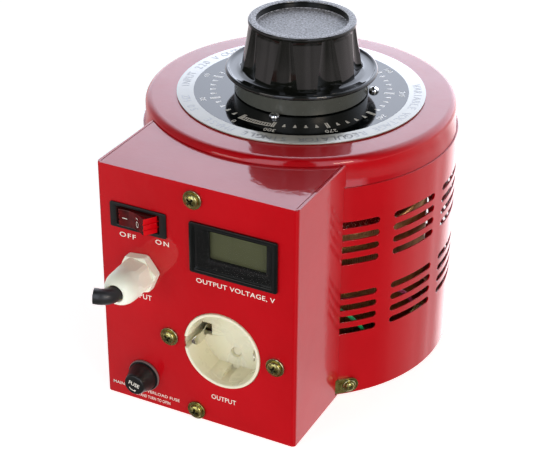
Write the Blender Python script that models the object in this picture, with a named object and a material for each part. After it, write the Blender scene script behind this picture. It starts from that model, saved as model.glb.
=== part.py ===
"""Bench variac: a toroidal autotransformer in a slotted drum, with a control box on its front.

Frame: metres, +Z up along the drum's axis, origin in the middle of the base plate's underside.
The control box's front panel faces -Y. Angles round the drum are measured from -Y towards +X.
"""
import math

import bmesh
import bpy
from mathutils import Matrix, Vector

MM = 0.001
GAP = 0.3 * MM

# Drum, lid and dial
DRUM_R = 84.05 * MM
SHEET = 0.8 * MM
SHELL_LOW = 0.4 * MM
SHELL_TOP = 123.5 * MM
LID_R = 82.55 * MM
LID_TOP = 139.2 * MM
LID_SHEET = 1.2 * MM
LID_EDGE = 4.0 * MM
LID_SKIRT = 24.0 * MM
LID_HOLE_R = 9.0 * MM
BASE_T = 2.0 * MM
DIAL_R = 66.0 * MM
DIAL_T = 0.7 * MM
DIAL_HOLE_R = 14.0 * MM
DIAL_LOW = LID_TOP + GAP
DIAL_TOP = DIAL_LOW + DIAL_T
DIAL_SCREW_PITCH_R = 38.4 * MM
DIAL_SCREW_ANGLES = (5.2, 113.0, 239.0)

# Ventilation slots
SLOT_STEP = 27.2
SLOT_ARC = 21.3
SLOT_HEIGHT = 3.6 * MM
SLOT_PITCH = 7.05 * MM
SLOT_ROWS = 4
SLOT_COLUMNS = 11
LOWER_SLOTS = 39.9 * MM
UPPER_SLOTS = 81.3 * MM
BLIND_SPANS = 6
WINDOW_ANGLE = -16.7

# Scale of the dial: zero volts, and degrees of knob travel for the full 300 V
DIAL_ZERO = -13.75
DIAL_SWEEP = 337.5
DIAL_VOLTS = 300.0
REST_VOLTS = 120.0
REST_ANGLE = DIAL_ZERO - DIAL_SWEEP * REST_VOLTS / DIAL_VOLTS
WINDING_GAP_MID = DIAL_ZERO + (360.0 - DIAL_SWEEP) / 2.0
WINDING_GAP_ARC = 16.0

# Control box
BOX_HALF = 55.0 * MM
BOX_FRONT = -115.1 * MM
BOX_BACK = -50.0 * MM
BOX_TOP = 135.8 * MM
BOX_SHEET = 1.2 * MM
BOX_FOLD = 2.0 * MM
BOX_TO_SHELL = DRUM_R + 0.35 * MM
BOX_TO_LID = LID_R + 0.35 * MM

# Places on the panel: distance right of its centre line, and height
SWITCH_AT = (-31.9 * MM, 109.2 * MM)
METER_AT = (21.0 * MM, 102.35 * MM)
SOCKET_AT = (14.0 * MM, 45.8 * MM)
FUSE_AT = (-31.9 * MM, 17.1 * MM)
GLAND_AT = (-31.2 * MM, 80.4 * MM)
BRACKET_X = -1.0 * MM
BRACKET_SCREW_HEIGHTS = (128.0 * MM, 5.2 * MM)
SOCKET_SCREW_REACH = 30.0 * MM
SOCKET_RIM = 0.9 * MM
PIN_PITCH = 9.5 * MM
CLIP_SLOT_HALF = 3.4 * MM

# Transformer, from the base up
LEG_R = 7.0 * MM
LEG_PITCH_R = 50.0 * MM
CLAMP_LOW = 14.0 * MM
CLAMP_T = 4.0 * MM
CLAMP_R = 66.0 * MM
PAD_T = 2.4 * MM
WINDING_INNER = 36.0 * MM
WINDING_OUTER = 70.0 * MM
WINDING_TOP = 90.0 * MM
WINDING_T = 3.0 * MM
CORE_CLEAR = 2.5 * MM
LINER_T = 2.5 * MM
UPPER_CLAMP_R = 46.0 * MM
TIE_PITCH_R = 24.0 * MM
TIE_R = 2.5 * MM
TIE_ANGLES = (60.0, 180.0, 300.0)
LEG_ANGLES = (0.0, 120.0, 240.0)
STOP_PITCH_R = 16.5 * MM
STOP_R = 1.6 * MM

# Rotor
SHAFT_R = 5.0 * MM
SHAFT_SIDES = 16
SLIP_RING_R = 9.5 * MM
BUSH_BORE = 5.08 * MM / math.cos(math.pi / SHAFT_SIDES)
BUSH_R = 8.0 * MM
HUB_R = 13.0 * MM
HUB_LOW = 96.0 * MM
HUB_TOP = 108.0 * MM
ARM_LOW = 99.0 * MM
ARM_TOP = 104.0 * MM
BRUSH_AT_R = 56.0 * MM
BRUSH_HALF = (2.5 * MM, 3.0 * MM)
BRUSH_TOP = 97.0 * MM
CHANNEL_TOP = 103.2 * MM

# Knob
KNOB_LOW = DIAL_TOP + 0.5 * MM
KNOB_TOP = 180.0 * MM
KNOB_RIM_R = 28.4 * MM
KNOB_FLANGE_R = 40.25 * MM
KNOB_SKIRT_R = 35.4 * MM
KNOB_FLUTES = 8
KNOB_SIDES = 40
KNOB_BORE_TOP = 172.5 * MM
SET_SCREW_HEIGHT = 145.5 * MM
FLANGE_LOW = 150.2 * MM
FLANGE_TOP = 153.6 * MM
DISH_R = 37.4 * MM
DISH_LOW = 152.2 * MM
GRIP_LOW = 153.4 * MM
GRIP_TOP = 177.6 * MM
GRIP_LOW_R = 31.9 * MM
GRIP_TOP_R = 27.9 * MM

# Power switch and meter: how far the bezels stand out, and the rocker's pivot
SWITCH_BEZEL = 1.0 * MM
ROCKER_TILT = 13.0
ROCKER_PIVOT = -3.2 * MM
METER_BEZEL = 1.5 * MM
METER_VIEW = (1.6 * MM, 2.15 * MM)

ROUND = 48

RED = ((0.55, 0.01, 0.015), 0.25, 0.0)
BLACK = ((0.015, 0.015, 0.017), 0.25, 0.0)
ZINC = ((0.62, 0.52, 0.27), 0.35, 1.0)
STEEL = ((0.6, 0.6, 0.6), 0.35, 1.0)
BRASS = ((0.75, 0.55, 0.25), 0.3, 1.0)
COPPER = ((0.72, 0.35, 0.18), 0.4, 1.0)
SILVER = ((0.6, 0.62, 0.65), 0.4, 1.0)
IVORY = ((0.8, 0.77, 0.66), 0.35, 0.0)
NYLON = ((0.75, 0.74, 0.68), 0.45, 0.0)
BOARD = ((0.2, 0.1, 0.05), 0.6, 0.0)
CARBON = ((0.05, 0.05, 0.055), 0.6, 0.0)
RUBBER = ((0.02, 0.02, 0.02), 0.6, 0.0)
GREEN = ((0.05, 0.4, 0.15), 0.4, 0.0)
BROWN = ((0.2, 0.07, 0.03), 0.4, 0.0)
BLUE = ((0.03, 0.1, 0.4), 0.4, 0.0)
CRIMSON = ((0.45, 0.02, 0.1), 0.4, 0.0)
LCD = ((0.3, 0.32, 0.24), 0.2, 0.0)
CLEAR = ((0.8, 0.85, 0.85), 0.05, 0.0)
ROCKER_RED = ((0.6, 0.0, 0.01), 0.2, 0.0)
GLASS = ((0.75, 0.8, 0.8), 0.1, 0.0)


# ---------------------------------------------------------------- helpers

def clear_scene():
    for obj in list(bpy.data.objects):
        bpy.data.objects.remove(obj)


def finish_material(name, finish):
    colour, roughness, metallic = finish
    material = bpy.data.materials.new(name)
    material.use_nodes = True
    shader = material.node_tree.nodes["Principled BSDF"]
    shader.inputs["Base Color"].default_value = (*colour, 1.0)
    shader.inputs["Roughness"].default_value = roughness
    shader.inputs["Metallic"].default_value = metallic
    return material


def place(obj, location=(0.0, 0.0, 0.0), parent=None, rotation=(0.0, 0.0, 0.0)):
    bpy.context.scene.collection.objects.link(obj)
    obj.location = location
    obj.rotation_euler = rotation
    obj.parent = parent
    return obj


def add_piece(name, bm, finish, **where):
    """Link a closed mesh as one named piece with its own material."""
    bmesh.ops.recalc_face_normals(bm, faces=bm.faces)
    mesh = bpy.data.meshes.new(name)
    bm.to_mesh(mesh)
    bm.free()
    mesh.shade_smooth()
    mesh.set_sharp_from_angle(angle=math.radians(35))
    mesh.materials.append(finish_material(name, finish))
    return place(bpy.data.objects.new(name, mesh), **where)


def add_tool(target, operation, bm, **where):
    """Cut a mesh from a piece, or join it on, with a Boolean modifier."""
    bmesh.ops.recalc_face_normals(bm, faces=bm.faces)
    name = target.name + "_tool"
    mesh = bpy.data.meshes.new(name)
    bm.to_mesh(mesh)
    bm.free()
    tool = place(bpy.data.objects.new(name, mesh), **where)
    tool.hide_render = True
    tool.display_type = "WIRE"
    modifier = target.modifiers.new(operation.title(), "BOOLEAN")
    modifier.operation = operation
    modifier.object = tool


def cut(target, bm, **where):
    add_tool(target, "DIFFERENCE", bm, **where)


def join(target, bm, **where):
    add_tool(target, "UNION", bm, **where)


def add_empty(name, location, rotation=(0.0, 0.0, 0.0)):
    return place(bpy.data.objects.new(name, None), location, None, rotation)


def turned(profile, sides=ROUND, start=0.0):
    """Turn a profile of (radius, height) points round Z. A radius of zero is a point on the axis."""
    bm = bmesh.new()
    rings = []
    for radius, height in profile:
        if radius == 0.0:
            rings.append([bm.verts.new((0.0, 0.0, height))])
            continue
        turns = [start + math.tau * i / sides for i in range(sides)]
        rings.append([bm.verts.new((radius * math.cos(a), radius * math.sin(a), height)) for a in turns])
    on_axis = profile[0][0] == 0.0
    pairs = zip(rings, rings[1:] if on_axis else rings[1:] + rings[:1])
    for low, high in pairs:
        for i in range(sides):
            j = (i + 1) % sides
            corners = (low[i % len(low)], low[j % len(low)], high[j % len(high)], high[i % len(high)])
            bm.faces.new(list(dict.fromkeys(corners)))
    return bm


def rod(radius, low, high, sides=12, start=0.0):
    """Round bar along Z with flat ends."""
    outline = [(radius * math.cos(start + math.tau * i / sides),
                radius * math.sin(start + math.tau * i / sides)) for i in range(sides)]
    return prism(outline, low, high)


def prism(outline, low, high):
    """Extrude a closed outline in XY from one height to another."""
    bm = bmesh.new()
    face = bm.faces.new([bm.verts.new((x, y, low)) for x, y in outline])
    grown = bmesh.ops.extrude_face_region(bm, geom=[face])
    top = [v for v in grown["geom"] if isinstance(v, bmesh.types.BMVert)]
    bmesh.ops.translate(bm, verts=top, vec=(0.0, 0.0, high - low))
    return bm


def block(x_range, y_range, z_range):
    x0, x1 = x_range
    y0, y1 = y_range
    return prism([(x0, y0), (x1, y0), (x1, y1), (x0, y1)], *z_range)


def centred(half):
    return (-half, half)


def arc(centre, radius, start, end, steps):
    """Points on an arc in degrees, both ends included."""
    points = []
    for i in range(steps + 1):
        a = math.radians(start + (end - start) * i / steps)
        points.append((centre[0] + radius * math.cos(a), centre[1] + radius * math.sin(a)))
    return points


def rounded_rectangle(half_width, half_height, radius, steps=2):
    outline = []
    for sx, sy, start in ((1, 1, 0), (-1, 1, 90), (-1, -1, 180), (1, -1, 270)):
        centre = (sx * (half_width - radius), sy * (half_height - radius))
        outline += arc(centre, radius, start, start + 90, steps)
    return outline


def folded_strip(path, thickness):
    """Outline of a bent strip of even thickness along a centre line."""
    points = [Vector(p) for p in path]
    normals = []
    for a, b in zip(points, points[1:]):
        along = (b - a).normalized()
        normals.append(Vector((-along.y, along.x)))
    offsets = [normals[0]]
    for before, after in zip(normals, normals[1:]):
        offsets.append((before + after) / (1.0 + before.dot(after)))
    offsets.append(normals[-1])
    half = thickness / 2.0
    left = [tuple(p + n * half) for p, n in zip(points, offsets)]
    right = [tuple(p - n * half) for p, n in zip(points, offsets)]
    return left + right[::-1]


def drum_point(radius, angle, height=0.0):
    """Point at an angle from -Y towards +X."""
    a = math.radians(angle)
    return Vector((radius * math.sin(a), -radius * math.cos(a), height))


def along_x(bm):
    """Lay a body built on (y, z, x) axes down so that its third axis is X."""
    bm.transform(Matrix(((0, 0, 1, 0), (1, 0, 0, 0), (0, 1, 0, 0), (0, 0, 0, 1))))
    return bm


def along_y(bm):
    """Lay a body built on (x, z, -y) axes down so that its third axis is -Y."""
    bm.transform(Matrix(((1, 0, 0, 0), (0, 0, -1, 0), (0, 1, 0, 0), (0, 0, 0, 1))))
    return bm


def hexagon(across_flats, turn=0.0):
    radius = across_flats / math.sqrt(3.0)
    return arc((0.0, 0.0), radius, turn, turn + 300, 5)


def pan_head_screw(name, finish, head, washer, shank, **where):
    """Screw standing on Z = 0 with its shank going down. Sizes are (radius, height) pairs."""
    profile = [(0.0, washer[1] + head[1]), (0.6 * head[0], washer[1] + head[1]),
               (head[0], washer[1] + 0.5 * head[1]), (head[0], washer[1])]
    if washer[0] > head[0]:
        profile += [(washer[0], washer[1])]
    profile += [(max(washer[0], head[0]), 0.0), (shank[0], 0.0), (shank[0], -shank[1]), (0.0, -shank[1])]
    return add_piece(name, turned(profile, 12), finish, **where)


def wire(name, points, radius, finish, **where):
    """Round wire through points, as a smooth curve with a bevel."""
    curve = bpy.data.curves.new(name, "CURVE")
    curve.dimensions = "3D"
    curve.resolution_u = 3
    curve.bevel_depth = radius
    curve.bevel_resolution = 1
    curve.use_fill_caps = True
    spline = curve.splines.new("BEZIER")
    spline.bezier_points.add(len(points) - 1)
    for knot, point in zip(spline.bezier_points, points):
        knot.co = point
        knot.handle_left_type = "AUTO"
        knot.handle_right_type = "AUTO"
    curve.materials.append(finish_material(name, finish))
    return place(bpy.data.objects.new(name, curve), **where)


# ---------------------------------------------------------------- drum

def slot_angles():
    """Angles of the grid lines round the shell, the spans that are slots, and the wire window's span."""
    columns = [180.0 + SLOT_STEP * (i - (SLOT_COLUMNS - 1) // 2) for i in range(SLOT_COLUMNS)]
    lines = []
    filled = []
    for centre in columns:
        first = len(lines)
        lines += [centre - SLOT_ARC / 2, centre, centre + SLOT_ARC / 2]
        filled += [first, first + 1]
    blind = 360.0 + lines[0] - lines[-1]
    last_slot = lines[-1]
    window = len(lines)
    lines += [last_slot + blind * i / BLIND_SPANS for i in range(1, BLIND_SPANS)]
    return lines, filled, window


def slot_levels():
    """Heights of the horizontal grid lines, the rows that are slots, and the row of the wire window."""
    levels = [SHELL_LOW]
    open_rows = []
    for first in (LOWER_SLOTS, UPPER_SLOTS):
        for row in range(SLOT_ROWS):
            open_rows.append(len(levels))
            middle = first + row * SLOT_PITCH
            levels += [middle - SLOT_HEIGHT / 2, middle + SLOT_HEIGHT / 2]
    levels.append(SHELL_TOP)
    return levels, open_rows, 2 * SLOT_ROWS


def make_drum_shell():
    lines, slot_spans, window_span = slot_angles()
    levels, slot_rows, window_row = slot_levels()
    bm = bmesh.new()
    grid = [[bm.verts.new(drum_point(DRUM_R, a, z)) for a in lines] for z in levels]
    for row in range(len(levels) - 1):
        for span in range(len(lines)):
            is_slot = row in slot_rows and span in slot_spans
            is_window = row == window_row and span == window_span
            if is_slot or is_window:
                continue
            after = (span + 1) % len(lines)
            bm.faces.new((grid[row][span], grid[row][after], grid[row + 1][after], grid[row + 1][span]))
    mesh = bpy.data.meshes.new("drum_shell")
    bm.to_mesh(mesh)
    bm.free()
    mesh.materials.append(finish_material("drum_shell", RED))
    shell = place(bpy.data.objects.new("drum_shell", mesh))
    wall = shell.modifiers.new("Solidify", "SOLIDIFY")
    wall.thickness = SHEET
    wall.offset = -1.0
    return shell


def make_lid():
    inside = LID_R - LID_SHEET
    shoulder = LID_R - LID_EDGE
    profile = [(LID_HOLE_R, LID_TOP)]
    profile += arc((shoulder, LID_TOP - LID_EDGE), LID_EDGE, 90, 0, 3)
    profile += [(LID_R, LID_TOP - LID_SKIRT), (inside, LID_TOP - LID_SKIRT)]
    underside = LID_TOP - LID_SHEET
    profile += [(inside, LID_TOP - LID_EDGE), (shoulder, underside), (LID_HOLE_R, underside)]
    lid = add_piece("top_lid", turned(profile), RED)
    for hole in dial_screw_places():
        cut(lid, rod(1.9 * MM, LID_TOP - 5 * MM, LID_TOP + 5 * MM, 8), location=hole)
    return lid


def dial_screw_places():
    return [drum_point(DIAL_SCREW_PITCH_R, angle) for angle in DIAL_SCREW_ANGLES]


def make_dial():
    profile = [(DIAL_HOLE_R, DIAL_TOP), (DIAL_R, DIAL_TOP), (DIAL_R, DIAL_LOW), (DIAL_HOLE_R, DIAL_LOW)]
    dial = add_piece("dial_plate", turned(profile), SILVER)
    for number, place_xy in enumerate(dial_screw_places(), 1):
        cut(dial, rod(1.9 * MM, DIAL_LOW - MM, DIAL_TOP + MM, 8), location=place_xy)
        pan_head_screw("dial_screw_%d" % number, STEEL, (2.7 * MM, 2.0 * MM), (0.0, 0.0),
                       (1.5 * MM, 6.0 * MM), location=place_xy + Vector((0, 0, DIAL_TOP + GAP)))


def make_base_plate():
    base = add_piece("base_plate", rod(LID_R, 0.0, BASE_T, ROUND), ZINC)
    for i in range(6):
        cut(base, rod(6.0 * MM, -MM, BASE_T + MM, 8), location=drum_point(66.0 * MM, 30.0 + 60.0 * i))
    for angle in TIE_ANGLES:
        cut(base, rod(TIE_R + GAP, -MM, BASE_T + MM, 10), location=drum_point(TIE_PITCH_R, angle))


# ---------------------------------------------------------------- transformer

def make_lower_clamp():
    top = CLAMP_LOW + CLAMP_T
    clamp = add_piece("lower_clamp", rod(CLAMP_R, CLAMP_LOW, top, 36), BOARD)
    for angle in LEG_ANGLES:
        leg = drum_point(LEG_PITCH_R, angle)
        join(clamp, rod(LEG_R, BASE_T + GAP, CLAMP_LOW + MM, 12), location=leg)
    cut(clamp, rod(BUSH_R + GAP, 0.0, 30.0 * MM, SHAFT_SIDES))
    for angle in TIE_ANGLES:
        cut(clamp, rod(TIE_R + GAP, 0.0, 30.0 * MM, 10), location=drum_point(TIE_PITCH_R, angle))


def ring(name, inner, outer, low, high, finish, sides=40):
    return add_piece(name, turned([(inner, high), (outer, high), (outer, low), (inner, low)], sides), finish)


def winding_bottom():
    return CLAMP_LOW + CLAMP_T + GAP + PAD_T + GAP


def section(inner, outer, low, high):
    """Corners of a rectangular section in radius and height."""
    return [(inner, low), (outer, low), (outer, high), (inner, high)]


def make_winding():
    """Toroidal winding: a tube of rectangular section round the core, open at the unwound gap."""
    bottom = winding_bottom()
    outer = section(WINDING_INNER, WINDING_OUTER, bottom, WINDING_TOP)
    inner = section(WINDING_INNER + WINDING_T, WINDING_OUTER - WINDING_T, bottom + WINDING_T,
                    WINDING_TOP - WINDING_T)
    steps = 44
    first = WINDING_GAP_MID + WINDING_GAP_ARC / 2.0
    turn = (360.0 - WINDING_GAP_ARC) / steps
    bm = bmesh.new()
    outer_rings = []
    inner_rings = []
    for i in range(steps + 1):
        angle = first + turn * i
        outer_rings.append([bm.verts.new(drum_point(r, angle, z)) for r, z in outer])
        inner_rings.append([bm.verts.new(drum_point(r, angle, z)) for r, z in inner])
    for i in range(steps):
        for rings in (outer_rings, inner_rings):
            for k in range(4):
                m = (k + 1) % 4
                bm.faces.new((rings[i][k], rings[i][m], rings[i + 1][m], rings[i + 1][k]))
    for end in (0, steps):
        for k in range(4):
            m = (k + 1) % 4
            outside, inside = outer_rings[end], inner_rings[end]
            bm.faces.new((outside[k], outside[m], inside[m], inside[k]))
    add_piece("winding", bm, COPPER)


def make_core():
    pad_low = CLAMP_LOW + CLAMP_T + GAP
    ring("toroid_pad", WINDING_INNER + 4 * MM, CLAMP_R - MM, pad_low, pad_low + PAD_T, BOARD, 32)
    inner = WINDING_INNER + WINDING_T + CORE_CLEAR
    outer = WINDING_OUTER - WINDING_T - CORE_CLEAR
    floor = winding_bottom() + WINDING_T + GAP
    roof = WINDING_TOP - WINDING_T - GAP
    ring("lower_liner", inner - MM, outer + MM, floor, floor + LINER_T, BOARD, 32)
    ring("toroid_core", inner, outer, floor + LINER_T + GAP, roof - LINER_T - GAP, STEEL, 32)
    ring("upper_liner", inner - MM, outer + MM, roof - LINER_T, roof, BOARD, 32)


def make_upper_clamp():
    low = WINDING_TOP + GAP
    top = low + CLAMP_T
    bore = BUSH_R + GAP
    spigot_low = WINDING_TOP - 8 * MM
    spigot_r = WINDING_INNER - 2 * MM
    profile = [(bore, top), (UPPER_CLAMP_R, top), (UPPER_CLAMP_R, low), (spigot_r, low),
               (spigot_r, spigot_low), (bore, spigot_low)]
    clamp = add_piece("upper_clamp", turned(profile, 32), BOARD)
    for number, angle in enumerate(TIE_ANGLES, 1):
        spot = drum_point(TIE_PITCH_R, angle)
        cut(clamp, rod(TIE_R + GAP, spigot_low - MM, top + MM, 10), location=spot)
        make_tie_bolt("tie_bolt_%d" % number, top + GAP, spot)
    stop = drum_point(STOP_PITCH_R, WINDING_GAP_MID)
    cut(clamp, rod(STOP_R + GAP, spigot_low - MM, top + MM, 8), location=stop)
    add_piece("stop_pin", rod(STOP_R, spigot_low + MM, ARM_LOW - 0.4 * MM, 8), STEEL, location=stop)


def make_tie_bolt(name, seat, spot):
    """Hexagon-headed bolt that clamps the whole stack down to the base plate."""
    bolt = add_piece(name, prism(hexagon(8.0 * MM), seat, seat + 3.5 * MM), ZINC, location=spot)
    join(bolt, rod(TIE_R, GAP, seat + MM, 10), location=spot)


def make_bush(name, low, shoulder):
    """Flanged bearing bush, its flange resting on a clamp's top face."""
    flange_low = shoulder + GAP
    flange_top = flange_low + 1.2 * MM
    flange_r = 11.0 * MM
    profile = [(BUSH_BORE, flange_top), (flange_r, flange_top), (flange_r, flange_low), (BUSH_R, flange_low),
               (BUSH_R, low), (BUSH_BORE, low)]
    add_piece(name, turned(profile, SHAFT_SIDES), BRASS)


# ---------------------------------------------------------------- rotor

def make_shaft(rotor):
    add_piece("shaft", rod(SHAFT_R, 4.0 * MM, 172.0 * MM, SHAFT_SIDES), STEEL, parent=rotor)
    profile = section(SHAFT_R + GAP, SLIP_RING_R, 4.6 * MM, 9.6 * MM)[::-1]
    add_piece("slip_ring", turned(profile, SHAFT_SIDES), BRASS, parent=rotor)


def make_brush_arm(rotor):
    arm = add_piece("brush_arm", rod(HUB_R, HUB_LOW, HUB_TOP, 24), SILVER, parent=rotor)
    reach = BRUSH_AT_R + 5.5 * MM
    beam = [(-7.0 * MM, -6.0 * MM), (-5.0 * MM, -reach), (5.0 * MM, -reach), (7.0 * MM, -6.0 * MM)]
    join(arm, prism(beam, ARM_LOW, ARM_TOP), parent=rotor)
    join(arm, block(centred(5.5 * MM), (-reach - 0.5 * MM, -reach + 11.0 * MM), (91.5 * MM, ARM_TOP + MM)),
         parent=rotor)
    stop_lug = block(centred(1.2 * MM), (-18.5 * MM, -10.0 * MM), (HUB_LOW + 0.2 * MM, ARM_LOW + MM))
    join(arm, stop_lug, parent=rotor)
    cut(arm, rod(SHAFT_R + GAP, 80.0 * MM, 120.0 * MM, SHAFT_SIDES), parent=rotor)
    half_x, half_y = BRUSH_HALF
    brush_y = (-BRUSH_AT_R - half_y, -BRUSH_AT_R + half_y)
    channel = block(centred(half_x + GAP), (brush_y[0] - GAP, brush_y[1] + GAP), (80.0 * MM, CHANNEL_TOP))
    cut(arm, channel, parent=rotor)
    brush = block(centred(half_x), brush_y, (WINDING_TOP + GAP, BRUSH_TOP))
    add_piece("carbon_brush", brush, CARBON, parent=rotor)
    make_brush_spring(rotor, BRUSH_TOP + GAP, CHANNEL_TOP - GAP)


def make_brush_spring(rotor, low, high):
    """Helical spring pressing the brush on to the bared top of the winding."""
    coil_r = 1.9 * MM
    gauge = 0.3 * MM
    turns = 4
    per_turn = 8
    curve = bpy.data.curves.new("brush_spring", "CURVE")
    curve.dimensions = "3D"
    curve.bevel_depth = gauge
    curve.bevel_resolution = 0
    curve.use_fill_caps = True
    spline = curve.splines.new("POLY")
    spline.points.add(turns * per_turn)
    rise = high - low - 2 * gauge
    for i, point in enumerate(spline.points):
        angle = math.tau * i / per_turn
        height = low + gauge + rise * i / (turns * per_turn)
        point.co = (coil_r * math.cos(angle), -BRUSH_AT_R + coil_r * math.sin(angle), height, 1.0)
    curve.materials.append(finish_material("brush_spring", STEEL))
    place(bpy.data.objects.new("brush_spring", curve), parent=rotor)


def make_collector_leaf():
    """Leaf spring that takes the current off the slip ring, hung from the lower clamp."""
    gauge = 0.6 * MM
    low = 5.2 * MM
    near = SLIP_RING_R + GAP + gauge / 2.0
    path = [(near, -9.0 * MM), (near, 8.0 * MM), (near + 3.7 * MM, 34.0 * MM)]
    leaf = add_piece("collector_leaf", prism(folded_strip(path, gauge), low, 9.0 * MM), BRASS)
    join(leaf, block((12.5 * MM, 14.5 * MM), (26.0 * MM, 33.0 * MM), (low, CLAMP_LOW - GAP)))


def flute_depth(angle, height):
    """Depth of the scallops in the grip, which are broad and deep at the foot and narrow at the top."""
    share = min(1.0, max(0.0, (height - GRIP_LOW) / (GRIP_TOP - GRIP_LOW)))
    half_width = 13.5 - 6.5 * share
    depth = (2.6 - 1.4 * share) * MM
    pitch = 360.0 / KNOB_FLUTES
    off = abs((angle + pitch / 2.0) % pitch - pitch / 2.0)
    if off >= half_width:
        return 0.0
    return depth * (1.0 - (off / half_width) ** 2)


def knob_profile():
    """Profile of the knob as (radius, height, fluted), from the bore out, up the side and over the top."""
    bore = SHAFT_R + GAP
    boss = 10.0 * MM
    ceiling = 149.0 * MM
    skirt_in = KNOB_SKIRT_R - 3.0 * MM
    recess = 24.0 * MM
    floor = 176.2 * MM
    plain = [(bore, KNOB_LOW), (boss, KNOB_LOW), (boss, ceiling), (skirt_in, ceiling), (skirt_in, KNOB_LOW),
             (KNOB_SKIRT_R, KNOB_LOW), (KNOB_SKIRT_R, FLANGE_LOW), (KNOB_FLANGE_R, FLANGE_LOW + MM),
             (KNOB_FLANGE_R, FLANGE_TOP - MM), (KNOB_FLANGE_R - 1.4 * MM, FLANGE_TOP),
             (DISH_R, DISH_LOW + 0.4 * MM), (GRIP_LOW_R + MM, DISH_LOW)]
    middle = (GRIP_LOW_R + GRIP_TOP_R) / 2.0 - 0.1 * MM
    grip = [(GRIP_LOW_R, GRIP_LOW), (middle, (GRIP_LOW + GRIP_TOP) / 2.0), (GRIP_TOP_R, GRIP_TOP)]
    cap = [(KNOB_RIM_R, GRIP_TOP + 0.6 * MM), (KNOB_RIM_R, KNOB_TOP - 0.6 * MM),
           (KNOB_RIM_R - 0.8 * MM, KNOB_TOP), (recess, KNOB_TOP), (recess, floor), (0.0, floor)]
    return [(r, z, part is grip) for part in (plain, grip, cap) for r, z in part]


def make_knob(rotor):
    bore = SHAFT_R + GAP
    flute_turn = 180.0 / KNOB_FLUTES
    step = 360.0 / KNOB_SIDES
    bm = bmesh.new()
    rings = [[bm.verts.new((0.0, 0.0, KNOB_BORE_TOP))],
             [bm.verts.new(drum_point(bore, step * i, KNOB_BORE_TOP)) for i in range(KNOB_SIDES)]]
    for radius, height, fluted in knob_profile():
        if radius == 0.0:
            rings.append([bm.verts.new((0.0, 0.0, height))])
            continue
        points = []
        for i in range(KNOB_SIDES):
            cut_in = flute_depth(step * i - flute_turn, height) if fluted else 0.0
            points.append(bm.verts.new(drum_point(radius - cut_in, step * i, height)))
        rings.append(points)
    for low, high in zip(rings, rings[1:]):
        for i in range(KNOB_SIDES):
            j = (i + 1) % KNOB_SIDES
            corners = (low[i % len(low)], low[j % len(low)], high[j % len(high)], high[i % len(high)])
            bm.faces.new(list(dict.fromkeys(corners)))
    knob = add_piece("knob", bm, BLACK, parent=rotor)
    set_screw_hole = along_y(rod(2.3 * MM, 3.0 * MM, 40.0 * MM, 8))
    cut(knob, set_screw_hole, parent=rotor, location=(0, 0, SET_SCREW_HEIGHT))
    add_piece("knob_set_screw", along_y(rod(2.0 * MM, SHAFT_R + GAP, 10.5 * MM, 8)), STEEL, parent=rotor,
              location=(0, 0, SET_SCREW_HEIGHT))


# ---------------------------------------------------------------- control box

def make_front_box(panel):
    fold = BOX_FRONT + BOX_FOLD
    outline = [(BOX_HALF, BOX_BACK), (-BOX_HALF, BOX_BACK)]
    outline += arc((-BOX_HALF + BOX_FOLD, fold), BOX_FOLD, 180, 270, 2)
    outline += arc((BOX_HALF - BOX_FOLD, fold), BOX_FOLD, 270, 360, 2)
    box = add_piece("front_box", prism(outline, SHELL_LOW, BOX_TOP), RED)
    inside = block(centred(BOX_HALF - BOX_SHEET), (BOX_FRONT + BOX_SHEET, 0.0),
                   (SHELL_LOW + BOX_SHEET, BOX_TOP - BOX_SHEET))
    cut(box, inside)
    step = SHELL_TOP + MM
    drum = [(0.0, BOX_TOP + MM), (BOX_TO_LID, BOX_TOP + MM), (BOX_TO_LID, step), (BOX_TO_SHELL, step),
            (BOX_TO_SHELL, -MM), (0.0, -MM)]
    cut(box, turned(drum, 96))
    through = (-10.0 * MM, 10.0 * MM)
    sx, sz = SWITCH_AT
    mx, mz = METER_AT
    cut(box, block(centred(12.9 * MM), centred(6.0 * MM), through), parent=panel, location=(sx, sz, 0))
    cut(box, block(centred(22.9 * MM), centred(13.4 * MM), through), parent=panel, location=(mx, mz, 0))
    round_holes = [(SOCKET_AT, 21.6 * MM, 32), (FUSE_AT, 6.4 * MM, 16), (GLAND_AT, 8.0 * MM, 16)]
    round_holes += [(spot, 2.3 * MM, 8) for spot in panel_screw_places().values()]
    for (x, z), radius, sides in round_holes:
        cut(box, rod(radius, *through, sides), parent=panel, location=(x, z, 0))
    for side in (-1, 1):
        notch = block((-2 * MM, 2 * MM), (-67.0 * MM, -60.0 * MM), (SHELL_LOW + BOX_SHEET, 10.8 * MM))
        cut(box, notch, location=(side * BOX_HALF, 0, 0))


def panel_screw_places():
    high, low = BRACKET_SCREW_HEIGHTS
    x, z = SOCKET_AT
    return {"top": (BRACKET_X, high), "bottom": (BRACKET_X, low),
            "left": (x - SOCKET_SCREW_REACH, z), "right": (x + SOCKET_SCREW_REACH, z)}


def make_panel_screws(panel):
    for name, (x, z) in panel_screw_places().items():
        pan_head_screw("panel_screw_" + name, ZINC, (3.8 * MM, 2.2 * MM), (5.0 * MM, 0.9 * MM),
                       (1.9 * MM, 7.0 * MM), parent=panel, location=(x, z, GAP))


def make_box_bracket():
    """Folded strip that ties the control box to the drum at its top and bottom."""
    tab = BOX_FRONT + BOX_SHEET + 1.2 * MM
    web = -85.7 * MM
    path = [(tab, 133.4 * MM), (tab, 122.0 * MM), (web, 122.0 * MM), (web, 10.4 * MM), (tab, 10.4 * MM),
            (tab, 2.0 * MM)]
    strip = along_x(prism(folded_strip(path, 1.5 * MM), *centred(7.0 * MM)))
    bracket = add_piece("box_bracket", strip, ZINC, location=(BRACKET_X, 0, 0))
    for height in BRACKET_SCREW_HEIGHTS:
        hole = along_y(rod(2.3 * MM, 105.0 * MM, 120.0 * MM, 8))
        cut(bracket, hole, location=(BRACKET_X, 0, height))


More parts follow.
